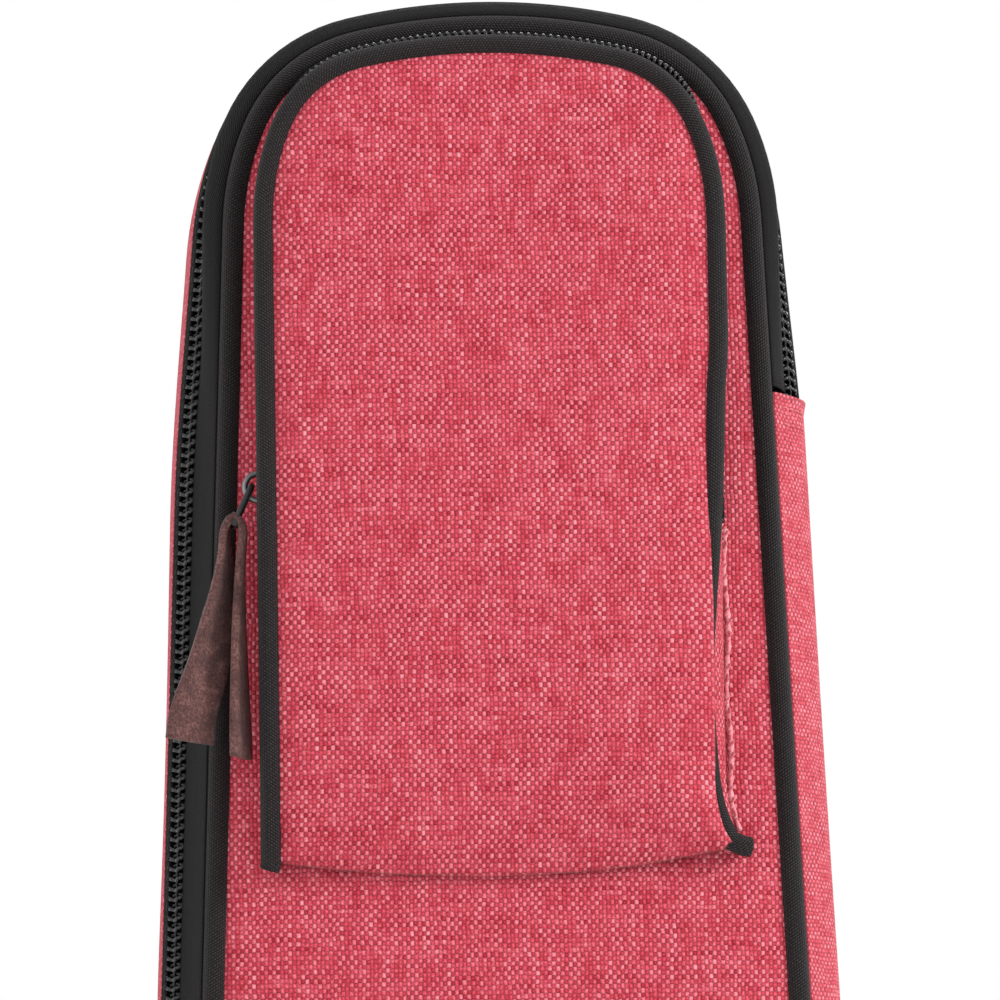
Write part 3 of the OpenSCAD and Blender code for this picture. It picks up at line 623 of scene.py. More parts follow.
# ---------------------------------------------------------------- profiles shared by the pieces
BULGE, BULGE_Y, SIDE_DROP = 11 * MM, -8 * MM, 8.9 * MM
SKIN, SIDE_FOAM, LINING_T, DRAW = 1.2 * MM, 8 * MM, 0.8 * MM, 2.6 * MM
TAPE_ROOT = np.array([PIPING_R + 0.3 * MM, Y_FRONT + 1 * MM])
TAPE_DIR, CHAIN_DIR = np.array([0.30, 0.954]), np.array([0.40, 0.917])
CHAIN_OUT = np.array([0.917, -0.40])
COIL_W, COIL_H, ROW_GAP = 2.9 * MM, 2.4 * MM, 0.8 * MM
COIL_FRONT = TAPE_ROOT + TAPE_DIR * TAPE_W + CHAIN_DIR * (COIL_W / 2 + 0.1 * MM)
COIL_REAR = COIL_FRONT + CHAIN_DIR * (COIL_W + ROW_GAP)
REAR_ROOT = COIL_REAR + CHAIN_DIR * (COIL_W / 2 + 0.1 * MM)
REAR_BEND = REAR_ROOT + CHAIN_DIR * 2.2 * MM
Y_SIDE = REAR_BEND[1] + 2.6 * MM
Y_SIDE_FOAM, Y_LINED = Y_SIDE + 5.6 * MM, 34.8 * MM  # the side wall's foam and lining run between these


def side_out(y):
    return BULGE - SIDE_DROP * ((np.asarray(y) - BULGE_Y) / (Y_BACK - BULGE_Y)) ** 2


WAVES = [(rng.uniform(18, 75), rng.uniform(0, 2 * math.pi), rng.uniform(0, 2 * math.pi)) for _ in range(9)]


def ripple(x, z, amount):
    """Soft, low unevenness of stuffed cloth, between about -amount and amount."""
    total = 0
    for rate, turn, phase in WAVES:
        total = total + np.sin(rate * (x * math.cos(turn) + z * math.sin(turn)) + phase) / len(WAVES)
    return total * amount * 1.8


def head_weight(s):
    """1 round the head, where everything is drawn in behind the piping, and 0 further down."""
    t = np.clip((seam.sample(s)[1] - (Z_HEAD - 95 * MM)) / (75 * MM), 0, 1)
    return t * t * (3 - 2 * t)


def crown_weight(s):
    """1 along the top of the head, where the pocket's zip shows above its piping, and 0 below its corners."""
    t = np.clip((seam.sample(s)[1] - (Z_HEAD - 30 * MM)) / (24 * MM), 0, 1)
    return t * t * (3 - 2 * t)


def tucked(s, loose, drawn):
    """A profile for each s that turns from loose to drawn round the head."""
    loose, drawn = np.asarray(loose, float), np.asarray(drawn, float)
    return loose + head_weight(s)[:, None, None] * (drawn - loose)


def drawn_in(profile, amount=DRAW):
    """The same (outward, y) points drawn in beside the zip and not at the back."""
    profile = np.array(profile, float)
    back = np.clip((profile[:, 1] - Y_SIDE) / (Y_BACK - Y_SIDE), 0, 1)
    profile[:, 0] -= amount * np.cos(back * math.pi / 2)
    return profile


def rise(d, length):
    return 1 - np.exp(-np.maximum(d, 0) / length)


def panel(name, edge, surface, levels=None, low=None, high=None):
    """A closed slab. Each level is (offset from the edge, fraction of the way to the spine, side). The first
    and last levels lie beside the spine, a vertical line from low to high. surface gives y."""
    levels, low, high = levels or SLAB_LEVELS, low or SPINE_LOW, high or SPINE_HIGH
    rings, cloth = [], []
    for offset, fraction, face in levels:
        p = edge(offset)
        spine = np.stack([0 * p[:, 0], np.clip(p[:, 1], low, high)], 1)
        q = p + fraction * (spine - p)
        d = fraction * np.linalg.norm(spine - p, axis=1) - offset
        y = surface(q[:, 0], q[:, 1], d, face)
        rings.append(np.stack([q[:, 0], y, q[:, 1]], 1))
        cloth.append(np.stack([q[:, 0], q[:, 1], 0 * y], 1))
    m, n = len(rings), len(rings[0])
    faces = ring_faces(m, n, caps=False)
    for start in (0, (m - 1) * n):
        for i in range(n // 2):
            corners = [start + i, start + i + 1, start + (n - i - 1) % n, start + (n - i) % n]
            faces.append(tuple(dict.fromkeys(corners)))
    return make_mesh(name, np.stack(rings), faces, np.stack(cloth))


INWARD = [0.99, 0.93, 0.86, 0.78, 0.7, 0.62, 0.54, 0.46, 0.39, 0.32, 0.26, 0.21, 0.165, 0.125, 0.09, 0.06,
          0.035, 0.018]
SLAB_LEVELS = [*[(0, f, 1) for f in INWARD], (0, 0.006, 1), (0.2 * MM, 0, 0),
               *[(0, f, -1) for f in (0.006, 0.035, 0.3, 0.7, 0.99)]]
RING_COUNT = 2 * round(seam.length / STEP / 2)
EVEN_RING = S_BOTTOM + np.arange(RING_COUNT) * seam.length / RING_COUNT
SPINE_LOW, SPINE_HIGH = Z_SEAM + 90 * MM, Z_HEAD - 44 * MM


def seam_edge(inset):
    def edge(offset):
        x, z, nx, nz = seam.sample(EVEN_RING)
        return np.stack([x + (offset - inset) * nx, z + (offset - inset) * nz], 1)
    return edge


# ---------------------------------------------------------------- the shell
def foam_slab(name, node, body):
    """A sheet of foam with rounded rims, in the space that its CAD solid holds."""
    low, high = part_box(node)

    def surface(x, z, d, face):
        rim = 1.6 * MM * (1 - rise(d, 1.5 * MM))
        return np.where(face > 0, low.y + 0.2 * MM + rim, high.y - 0.2 * MM - rim)
    inset = max(seam.x) - high.x + 0.3 * MM
    finish(panel(name, seam_edge(inset), surface), FOAM, body, [node])


def make_side_wall():
    waver = ripple(np.cos(RING * 9) * 0.2, RING, 0.5 * MM)
    ys = np.linspace(Y_SIDE, Y_BACK - 2.4 * MM, 18)
    crease = 0.35 * MM * np.exp(-((ys - Y_SIDE - 4.6 * MM) / (0.8 * MM)) ** 2)
    hem = [[side_out(Y_SIDE) - 0.5 * MM, Y_SIDE - 0.3 * MM]]
    profile = np.concatenate([hem, thicken(np.stack([side_out(ys) - crease, ys], 1), SKIN)])
    middle = np.sin(np.clip((profile[:, 1] - Y_SIDE) / (Y_BACK - Y_SIDE), 0, 1) * math.pi)
    moved = tucked(RING, profile, drawn_in(profile))
    moved[..., 0] += waver[:, None] * middle
    finish(sweep("side_wall", RING, moved, True), CLOTH, "root", ["side_skin"])
    y_row = Y_SIDE + 4.6 * MM
    line = on_seam(RING, side_out(y_row) - 0.5 * MM - 2.55 * MM * head_weight(RING), y_row)
    _, _, nx, nz = seam.sample(RING)
    sew("side_wall_stitches", line, np.stack([nx, 0 * nx - 0.1, nz], 1), "root")

    foam_edge = side_out(Y_SIDE_FOAM)
    inner = foam_edge - SKIN - SIDE_FOAM - 1.2 * MM
    wrap = [[foam_edge - 2.2 * MM, Y_SIDE_FOAM + 3 * MM], [foam_edge - 2.3 * MM, Y_SIDE_FOAM - 0.6 * MM],
            [foam_edge - 3.6 * MM, Y_SIDE_FOAM - 1.6 * MM], [foam_edge - 6 * MM, Y_SIDE_FOAM - 1.9 * MM],
            [inner + 1.2 * MM, Y_SIDE_FOAM - 1.5 * MM], [inner, Y_SIDE_FOAM - 0.2 * MM]]
    wall = np.linspace(Y_SIDE_FOAM + 4 * MM, Y_LINED, 9)
    wrap += [[side_out(y) - SKIN - SIDE_FOAM - 1.2 * MM, y] for y in wall]
    wrap = thicken(np.array(wrap), LINING_T * 0.7)
    finish(sweep("shell_lining", RING, tucked(RING, wrap, drawn_in(wrap)), True), LINING, "root",
           ["side_lining"])
    ys = np.linspace(Y_SIDE_FOAM, Y_LINED, 10)
    foam = thicken(np.stack([side_out(ys) - SKIN - 0.3 * MM, ys], 1), SIDE_FOAM)
    foam = tucked(RING, foam, drawn_in(foam))
    finish(sweep("side_wall_foam", RING, foam, True), FOAM, "root", ["side_foam"])


def make_back():
    foam_slab("back_foam_slab", "back_foam", "root")
    y_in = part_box("back_lining")[0].y

    def floor(x, z, d, face):
        quilt = 1.2 * MM * rise(d, 8 * MM) + ripple(x, z, 0.5 * MM)
        return np.where(face > 0, y_in - quilt * (d > 0), y_in + 0.75 * MM)
    finish(panel("shell_floor_lining", seam_edge(4.2 * MM), floor), LINING, "root", ["back_lining"])

    def back(x, z, d, face):
        crown = 2.2 * MM * rise(d, 20 * MM) + 0.9 * MM * rise(d, 2 * MM)
        outer = Y_BACK + 0.9 * MM + crown + ripple(x, z, 0.4 * MM) * rise(d, 10 * MM)
        return np.where(face > 0, outer, Y_BACK + 0.8 * MM)
    finish(panel("back_panel", seam_edge(-1.6 * MM), back), CLOTH, "root", ["back_skin"])
    centre = (side_out(Y_BACK) + PIPING_R * 0.6, Y_BACK)
    cord = sweep("back_edge_piping", RING, circle(centre, PIPING_R - 0.2 * MM, 18), True)
    finish(cord, PIPING, "root", ["back_piping"])


def make_base():
    low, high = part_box("base_pad")
    ys = np.linspace(low.y, high.y, 15)
    top = Z_SEAM - side_out(ys)
    rows = []
    for x_at in np.linspace(low.x, high.x, 49):
        end = 1 - ((x_at - low.x) / (high.x - low.x) * 2 - 1) ** 20
        tread = 0.5 * MM * (math.sin(x_at * 2 * math.pi / (4 * MM)) > 0.2)
        sole = 0.9 * MM * (1 - end) + tread * np.sin(np.linspace(0, math.pi, 15)) ** 0.2
        bottom, upper = [np.stack([0 * ys + x_at, ys, z], 1) for z in (sole, top - 0.1 * MM)]
        rows.append(np.concatenate([bottom, upper[::-1]]))
    finish(loft("base_tread", rows, smooth=False), RUBBER, "root", ["base_pad"])


# ---------------------------------------------------------------- the lid
def make_lid():
    def front(x, z, d, face):
        crown = 1.9 * MM * rise(d, 2.2 * MM) + 3.0 * MM * rise(d - 2 * MM, 26 * MM)
        soft = ripple(x, z, 0.45 * MM) * rise(d, 12 * MM)
        inner = Y_FRONT + 0.3 * MM - 1.0 * MM * rise(d - 1 * MM, 1 * MM)
        return np.where(face > 0, Y_FRONT - 0.2 * MM - crown - soft, inner)
    finish(panel("front_panel", seam_edge(0.9 * MM), front), CLOTH, "lid", ["front_skin"])
    cord = sweep("front_edge_piping", RING, circle((0, Y_FRONT), PIPING_R, 20), True)
    finish(cord, PIPING, "lid", ["front_piping"])

    foam_slab("front_foam_slab", "front_foam", "lid")
    y_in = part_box("front_lining")[1].y
    rim = [(0, 0, 2), (0, 0, 3), (0, 0, 4), (-1 * MM, 0, 4), (-1 * MM, 0, 3)]
    levels = [*[(-0.3 * MM, f, -1) for f in (*INWARD, 0.006)], *rim,
              *[(-1.2 * MM, f, 5) for f in (0.01, 0.3, 0.7, 0.99)]]

    def inside(x, z, d, face):
        quilt = 1.6 * MM * rise(d, 9 * MM) + ripple(x, z, 0.5 * MM) * rise(d, 9 * MM)
        y = np.where(face == -1, y_in + quilt - 0.2 * MM, y_in - 1 * MM)
        y = np.where(face == 2, y_in - 2.5 * MM, y)
        y = np.where(face == 3, (y_in + Y_FRONT) / 2, y)
        return np.where(face == 4, Y_FRONT + 2.6 * MM, y)
    lining = panel("lid_lining", seam_edge(1.9 * MM), inside, levels)
    finish(lining, LINING, "lid", ["front_lining"])


def tape_profile(points):
    return thicken(points, 0.7 * MM)


def drawn_row(at):
    """A zip row's place for each s: at, drawn in round the head."""
    return lambda s: at - head_weight(s)[:, None] * np.array([DRAW, 0])


def make_main_zip():
    start, end = TAPE_ROOT - TAPE_DIR * 1.2 * MM, TAPE_ROOT + TAPE_DIR * TAPE_W
    share = np.linspace(0, 1, 9)
    front = np.array([start + (end - start) * f + CHAIN_OUT * 0.35 * MM for f in share])
    bow = DRAW * (np.sin(share * math.pi) - share ** 2)
    crest = tape_profile(front + np.stack([bow, 0 * share], 1))
    stub = np.arange(S_HIP, S_STOP + 0.01 * MM, STEP / 2)

    def tape(name, run, profile, body, node):
        finish(sweep(name, run, profile), TAPE, body, [node])
    tape("front_zip_tape", ZIP_RUN, tucked(ZIP_RUN, tape_profile(front), crest), "lid", "zip_tape_front")
    tape("fixed_zip_tape", stub, tape_profile(front), "root", "zip_end_tape")
    whole = np.concatenate([stub[:-1], ZIP_RUN])
    tuck = side_out(Y_SIDE) - SKIN - 0.65 * MM
    rear = np.array([REAR_ROOT, REAR_ROOT + CHAIN_DIR * 1.1 * MM, REAR_BEND,
                     [(REAR_BEND[0] + tuck) / 2, Y_SIDE - 1.2 * MM], [tuck, Y_SIDE + 0.2 * MM],
                     [tuck, Y_SIDE + 3.4 * MM]])
    rear[:, 0] += 0.35 * MM
    drawn = tape_profile(rear - np.array([DRAW, 0]))
    tape("rear_zip_tape", whole, tucked(whole, tape_profile(rear), drawn), "root", "zip_tape_rear")
    lean, top = CHAIN_DIR * 0.28 * MM, ZIP_RUN[-1]
    for name, s0, s1, centre, flip, body, node in (
            ("front_zip_coil", S_STOP, top, drawn_row(COIL_FRONT + lean), 1, "lid", "zip_coil_front"),
            ("fixed_zip_coil", S_HIP, S_STOP, COIL_FRONT + lean, 1, "root", "zip_end_coil"),
            ("rear_zip_coil", S_HIP + MM, top, drawn_row(COIL_REAR - lean), -1, "root", "zip_coil_rear")):
        row = coil(name, s0, s1, centre, CHAIN_DIR, COIL_W + 0.55 * MM, COIL_H, 2 * MM, 0.42 * MM, flip)
        finish(row, COIL, body, [node])
    for name, run, centre, body, nudge in (("front_zip_cord", ZIP_RUN, COIL_FRONT, "lid", 0.45),
                                           ("rear_zip_cord", whole, COIL_REAR, "root", -0.45)):
        at = centre - CHAIN_DIR * nudge * MM + CHAIN_OUT * (COIL_H / 2 - 0.12 * MM)
        _, _, nx, nz = seam.sample(run)
        line = on_seam(run, drawn_row(at)(run)[:, 0], at[1])
        normal = np.stack([nx * CHAIN_OUT[0], 0 * nx + CHAIN_OUT[1], nz * CHAIN_OUT[0]], 1)
        size = (2 * MM, 1.5 * MM, 0.2 * MM, 0.5 * MM)
        sew(name, line, normal, body, *size, slot="zip_tape", thread=DARK_THREAD)
    low, high, reach = CHAIN_OUT * 2.8 * MM, CHAIN_OUT * 3.1 * MM, CHAIN_DIR * 1.6 * MM
    tab = np.array([COIL_FRONT + low - reach, COIL_FRONT + high, COIL_REAR + high, COIL_REAR + low + reach])
    run = np.linspace(S_HIP + 0.3 * MM, S_HIP + 5.2 * MM, 6)
    cover = sweep("zip_end_cover", run, thicken(tab, SKIN * 0.9))
    finish(cover, CLOTH, "root", ["zip_end_tab"])


def make_hinge():
    run = np.arange(S_ZIP_TOP + 1.2 * MM, S_HIP, STEP)
    curve = [[o * MM, Y_FRONT + y * MM] for o, y in ((4.6, 5), (6.9, 9.5), (8.8, 14), (9.9, 19))]
    line = np.array([TAPE_ROOT, *curve, [side_out(Y_SIDE) - 0.3 * MM, Y_SIDE - 0.4 * MM]])
    line = smooth_line(np.column_stack([line, 0 * line[:, 0]]), 1 * MM)[:, :2]
    profile = thicken(line, SKIN)
    moved = np.broadcast_to(profile, (len(run), *profile.shape)).copy()

    def slack(s, y):
        """How far the hinge cloth stands out from its line."""
        middle = np.sin(np.clip((y - Y_FRONT) / (Y_SIDE - Y_FRONT), 0, 1) * math.pi)
        down = s - run[0]
        fold = np.exp(-down / (1.6 * MM)) * np.cos(down / (1.2 * MM))
        loose = (ripple(s, s * 0.3, 0.7 * MM) + 0.5 * MM) * middle
        return loose + 0.5 * MM * fold * np.minimum(1, middle * 3)
    moved[..., 0] += slack(run[:, None], profile[None, :, 1])
    bend = ("root", "lid", (0, Y_SIDE - 3 * MM, 0), (0, Y_FRONT + 1.5 * MM, 0))
    finish(sweep("hinge_cloth", run, moved), CLOTH, blend=bend, nodes=["hinge_gusset"])
    for k, down in enumerate((2.6 * MM, 6 * MM)):
        s_row = np.full(len(line), run[0] + down)
        _, _, nx, nz = seam.sample(s_row)
        row = on_seam(s_row, line[:, 0] + slack(s_row, line[:, 1]) + 0.12 * MM, line[:, 1])[3:-7]
        across = np.stack([nx, -0.45 + 0 * nx, nz], 1)[3:-7]
        sew(f"hinge_stitches_{k + 1}", row, across, None, 3 * MM, 2.2 * MM, blend=bend)


make_side_wall()
make_back()
make_base()
make_lid()
make_main_zip()
make_hinge()


# ---------------------------------------------------------------- the head pocket
flap_low, flap_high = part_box("pocket_panel")
lower_low, lower_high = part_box("pocket_lower_panel")
Z_POCKET, Z_FOLD = lower_low.z, lower_high.z + 0.6 * MM
Z_BEND = Z_FOLD - 19.5 * MM
Y_POCKET, Y_PANEL, Y_FOOT = flap_low.y, flap_high.y, lower_high.y - 3 * MM
INSET = 7.6 * MM
POCKET_R = 2.05 * MM
SHIFT, WIDER = -1.4 * MM, 0.5 * MM  # the pocket is sewn on a little off the middle
FLAP_BEND = ("lid", "pocket_flap", (0, 0, Z_FOLD - 7 * MM), (0, 0, Z_FOLD + 7 * MM))


def s_at(z):
    """Length along the right side of the seam, where it is at height z."""
    upper = np.array(seam.s) < seam.marks["hip"]
    return float(np.interp(-z, -np.array(seam.z)[upper], np.array(seam.s)[upper]))


def pocket_y(z):
    """The pocket's front face: full depth above, and drawn in to the bottom edge."""
    t = np.clip((z - Z_POCKET) / (Z_BEND - Z_POCKET), 0, 1)
    return Y_FOOT + (Y_POCKET - Y_FOOT) * np.sin(t * math.pi / 2) ** 0.75


def slump(x, z):
    """How strongly the right side's slack fold pulls the piping in behind the panel."""
    return np.where(x > 0, np.exp(-((z - Z_FOLD + 52 * MM) / (30 * MM)) ** 2), 0)


def hang(x, z):
    """How far the pocket's edge stands inside a line along the seam: below its corners it hangs straight."""
    widening = np.maximum(0, seam.half_width(z) - seam.half_width(Z_FOLD + 40 * MM))
    foot = 4.2 * MM * np.clip((Z_POCKET + 18 * MM - z) / (18 * MM), 0, 1) ** 2
    return np.where(x > 0, widening + 1.1 * MM * rise(Z_FOLD + 14 * MM - z, 8 * MM) - foot, widening)


def pocket_edge(offset):
    s = np.linspace(seam.length - s_at(Z_POCKET), seam.length + s_at(Z_POCKET), 173)
    x, z, nx, nz = seam.sample(s)
    reach = offset - INSET + WIDER - hang(x, z)
    x, z = x + SHIFT + reach * nx, z + reach * nz
    t = np.arange(1, 24) / 24
    left = np.stack([x[0] * t, z[0] - 3.2 * MM * (1 - t ** 2)], 1)
    right = np.stack([x[-1] * t[::-1], z[-1] - 3.2 * MM * (1 - t[::-1] ** 2)], 1)
    right[:, 1] += 2 * MM * t[::-1] ** 2
    z[-6:] += 2 * MM * np.linspace(0, 1, 6)
    middle = np.array([[0, (z[0] + z[-1]) / 2 - 4.2 * MM]])
    ring = np.concatenate([middle, left, np.stack([x, z], 1), right])
    ring[:, 1] -= offset * np.clip((Z_POCKET + 8 * MM - ring[:, 1]) / (8 * MM), 0, 1)
    return ring


def make_pocket():
    def surface(x, z, d, face):
        edge = pocket_y(z) + 1.3 * MM
        crown = 1.3 * MM * rise(d, 2 * MM) + 2.8 * MM * rise(d, 16 * MM)
        fold = 1.6 * MM * np.exp(-((x - 44 * MM - 0.05 * (Z_FOLD - z)) / (5 * MM)) ** 2)
        fold = fold * slump(x, z + 6 * MM)
        crease = 0.7 * MM * np.exp(-((z - Z_POCKET - 5 * MM - 0.01 * x) / (3 * MM)) ** 2)
        soft = ripple(x * 1.6, z * 1.3, 0.7 * MM) * rise(d, 9 * MM)
        outer = edge - crown - fold - soft + crease * 0.6
        return np.where(face > 0, outer, outer + 1.3 * MM + 1.2 * MM * rise(d, 5 * MM))
    pocket = panel("pocket_front", lambda offset: pocket_edge(offset - 1.1 * MM), surface,
                   low=Z_POCKET + 40 * MM, high=Z_HEAD - 55 * MM)
    finish(pocket, CLOTH, blend=FLAP_BEND, nodes=["pocket_panel", "pocket_lower_panel"])

    s = np.linspace(seam.length - s_at(Z_POCKET + 1 * MM), seam.length + s_at(Z_POCKET + 6 * MM), 360)
    x, z, nx, nz = seam.sample(s)
    pull_in = slump(x, z)
    reach = WIDER - INSET - hang(x, z) - 2.8 * MM * pull_in
    y = pocket_y(z) + 1.6 * MM + 3.2 * MM * pull_in
    line = np.stack([x + SHIFT + reach * nx, y, z + reach * nz], 1)
    hook_left = line[0] + np.array([[-0.3, 0.5, -1.4], [-0.1, 0.3, -0.7]]) * MM
    hook = np.array([[0.9, 0.1, -1.2], [2.2, 0.4, -2.2], [3.9, 0.8, -2.9], [5.2, 1.2, -3.1]])
    hook_right = line[-1] + hook * MM
    line = smooth_line(np.concatenate([hook_left, line[::4], hook_right]), 1.2 * MM)
    finish(tube("pocket_edge_piping", line, POCKET_R, 18), PIPING, blend=FLAP_BEND,
           nodes=["pocket_piping", "pocket_lower_piping"])


def make_pocket_zip():
    side = -INSET - 0.6 * MM
    row, height, pitch, wire = 2.3 * MM, 2.0 * MM, 1.53 * MM, 0.34 * MM
    flap_y = Y_PANEL + 2.75 * MM
    base_y = flap_y + row + 0.8 * MM
    s_fold, s_bend = s_at(Z_FOLD), s_at(Z_BEND)

    def lift(s):
        return 2.1 * MM * crown_weight(s)

    def run(s0, s1):
        return np.linspace(s0, s1, max(4, int(abs(s1 - s0) / STEP)))

    def out_at(s, share):
        x, z, _, _ = seam.sample(s)
        return side + lift(s) * share - 0.6 * hang(x, z) - 0.4 * MM * (x > 0)

    def row_of(y, share):
        return lambda s: np.stack([out_at(s, share), np.full_like(s, y)], 1)

    def tape(name, s, y0, y1, share0, share1, body, nodes=()):
        low, high = row_of(y0, share0)(s), row_of(y1, share1)(s)
        mid = (low + high) / 2
        t = np.array([0.3 * MM, 0])
        profile = np.stack([low + t, mid + t, high + t, high - t, mid - t, low - t], 1)
        finish(sweep(name, s, profile), NARROW_TAPE, body, nodes)

    def teeth(name, s0, s1, centre, body, nodes=(), flip=1):
        strand = coil(name, s0, s1, centre, (0, 1), row + 0.4 * MM, height, pitch, wire, flip)
        finish(strand, COIL, body, nodes)
    length = seam.length
    arch, base = (length - s_fold, length + s_fold), (length - s_bend, length + s_bend)
    y_sewn, y_row = Y_PANEL - 0.5 * MM, flap_y - row / 2
    tape("pocket_flap_tape", run(*arch), y_sewn, y_row, 0.2, 1.6, "pocket_flap", ["pocket_tape_flap"])
    y_root = Y_FRONT - 2.1 * MM
    tape("pocket_base_tape", run(*base), base_y + row / 2, y_root, 2, 3.3, "lid", ["pocket_tape_base"])
    teeth("pocket_flap_coil", *arch, row_of(flap_y + 0.2 * MM, 1.9), "pocket_flap", ["pocket_coil_flap"])
    teeth("pocket_base_coil", *base, row_of(base_y - 0.2 * MM, 2.2), "lid", ["pocket_coil_base"], -1)
    for name, s0, s1 in (("left", base[0], arch[0]), ("right", arch[1], base[1])):
        nodes = ["pocket_zip_ends"] if name == "left" else []
        teeth(f"pocket_end_coil_{name}", s0, s1, row_of(flap_y + 0.2 * MM, 0.6), "lid", nodes)
        tape(f"pocket_end_tape_{name}", run(s0, s1), y_sewn, y_row, 0, 0.5, "lid")


def seam_x(z):
    """Where the right gusset is sewn to the front panel."""
    return seam.half_width(z) - INSET + WIDER + SHIFT - hang(np.ones_like(z), z) + 2.5 * MM


def make_gussets():
    """The cloth sides of the pocket below its zip, and the looped stitching of the right one's seam."""
    for sign, name in ((-1, "left"), (1, "right")):
        z = np.linspace(Z_BEND - 0.5 * MM, Z_POCKET + 1.5 * MM, 34)
        edge = seam.half_width(z) - INSET + WIDER - hang(np.full_like(z, sign), z) + sign * SHIFT
        foot = edge + (2.2 * MM if sign > 0 else 0.3 * MM)
        top = edge - 1.0 * MM - 2.0 * MM * slump(np.full_like(z, sign), z)
        y_top, y_foot = pocket_y(z) + 2.2 * MM, np.full_like(z, Y_FRONT - 2.5 * MM)
        rows = []
        for f in np.linspace(0, 1, 7):
            belly = 0.9 * MM * math.sin(f * math.pi)
            x = sign * (foot + (top - foot) * f + belly)
            rows.append(np.stack([x, y_foot + (y_top - y_foot) * f, z], 1))
        rows += [r - np.array([sign * 1.1 * MM, 0, 0]) for r in rows[::-1]]
        verts = np.stack(rows, 1)
        gusset = loft(f"pocket_side_{name}", verts, np.roll(verts, -1, axis=-1) * [1, 1, 0] + [0.1, 0, 0])
        finish(gusset, CLOTH, "lid", ["pocket_gusset"] if sign < 0 else [])
    z = np.linspace(Z_BEND - 1 * MM, Z_POCKET + 6 * MM, 60)
    x = seam_x(z) + 0.35 * MM * np.sin(z * 260)
    line = np.stack([x, np.full_like(z, Y_FRONT - 4.0 * MM), z], 1)
    lip = tube("pocket_side_seam_edge", line, 0.55 * MM + 0.15 * MM * np.sin(z * 1900), 8)
    finish(lip, PALE_THREAD, "lid")
    loops = line + np.stack([0.5 * MM * np.sin(z * 2100), -0.6 * MM + 0 * z, 0 * z], 1)
    sew("pocket_side_loops", loops, (0.3, -1, 0), "lid", 2.6 * MM, 2.4 * MM, 0.3 * MM, 0.9 * MM)
    z = np.linspace(Z_BEND + 1 * MM, Z_BEND - 4 * MM, 8)
    tack = np.stack([seam_x(z) - 0.8 * MM, np.full_like(z, Y_FRONT - 4.2 * MM), z], 1)
    size = (1.1 * MM, 1.6 * MM, 0.3 * MM, 1.4 * MM)
    sew("pocket_side_tack", tack, (0, -1, 0), "lid", *size, thread=PALE_THREAD)


# ---------------------------------------------------------------- leather pulls
def make_pull(name, link, body, node, out, spread):
    """A strip folded through the link. out points away from the case, and the outer leg splays that way."""
    low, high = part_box(link)
    r = 0.65 * MM
    reach = low.x + r if out[0] < 0 else high.x - r
    bar = np.array([reach, (low.y + high.y) / 2, low.z + r])
    out = np.array([*out, 0.0])
    back = np.array([-out[1], out[0], 0.0]) * np.sign(out[0])
    outer = [(9.4, -3.0, -43.5), (8.6, -2.7, -38), (5.4, -1.6, -28), (2.9, -0.6, -17), (1.9, -0.1, -8),
             (1.9, 0, -2.5)]
    inner = [(-1.5, 0, -2.5), (-1.0, 0, -8), (-0.7, 0.2, -18), (-0.6, 0.3, -31), (-0.7, 0.4, -46.5)]
    path = [(o * (spread if d < -9 else 1), b * spread, d) for o, b, d in outer]
    path += [(1.45, 0, -0.3), (0.1, 0, 1.35), (-1.3, 0, -0.3)] + inner
    up = np.array([0, 0, 1])
    line = smooth_line([bar + (o * out + b * back + d * up) * MM for o, b, d in path], 1.2 * MM)
    d = np.clip((bar[2] - line[:, 2]) / (42 * MM), 0, 1)
    first = np.arange(len(line)) < np.argmax(line[:, 2])
    turn = np.where(first, 1.15 * spread * d ** 0.8, 0.35 * spread * d)[:, None]
    across = back * np.cos(turn) - out * np.sin(turn)
    width = (5.2 + 5.2 * np.clip(d * 2.2, 0, 1) ** 0.8 - 0.4 * np.where(first, 0, 1) * d) * MM
    strip = ribbon(name, line, across, width, 1.5 * MM, bend=0.35 * MM)
    finish(strip, LEATHER, body, [node])


def make_thread_tail():
    low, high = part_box("pocket_slider")
    top = np.array([low.x + 4.5 * MM, low.y + 0.5 * MM, high.z - 0.3 * MM])
    tail = [[1.4, 0.2, -0.8], [0.2, -0.6, -0.4], [-0.6, -1.0, 0.5], [-1.6, -0.8, 1.6]]
    fork = [[0.2, -0.6, -0.4], [-0.8, -0.4, 0.8], [-1.2, -0.2, 2.4]]
    for name, path, r, thread in (("tail", tail, 0.35 * MM, PALE_THREAD), ("end", fork, 0.28 * MM, THREAD)):
        line = smooth_line(top + np.array(path) * MM, 0.3 * MM)
        finish(tube(f"pocket_thread_{name}", line, r, 6), thread, "pocket_slider")


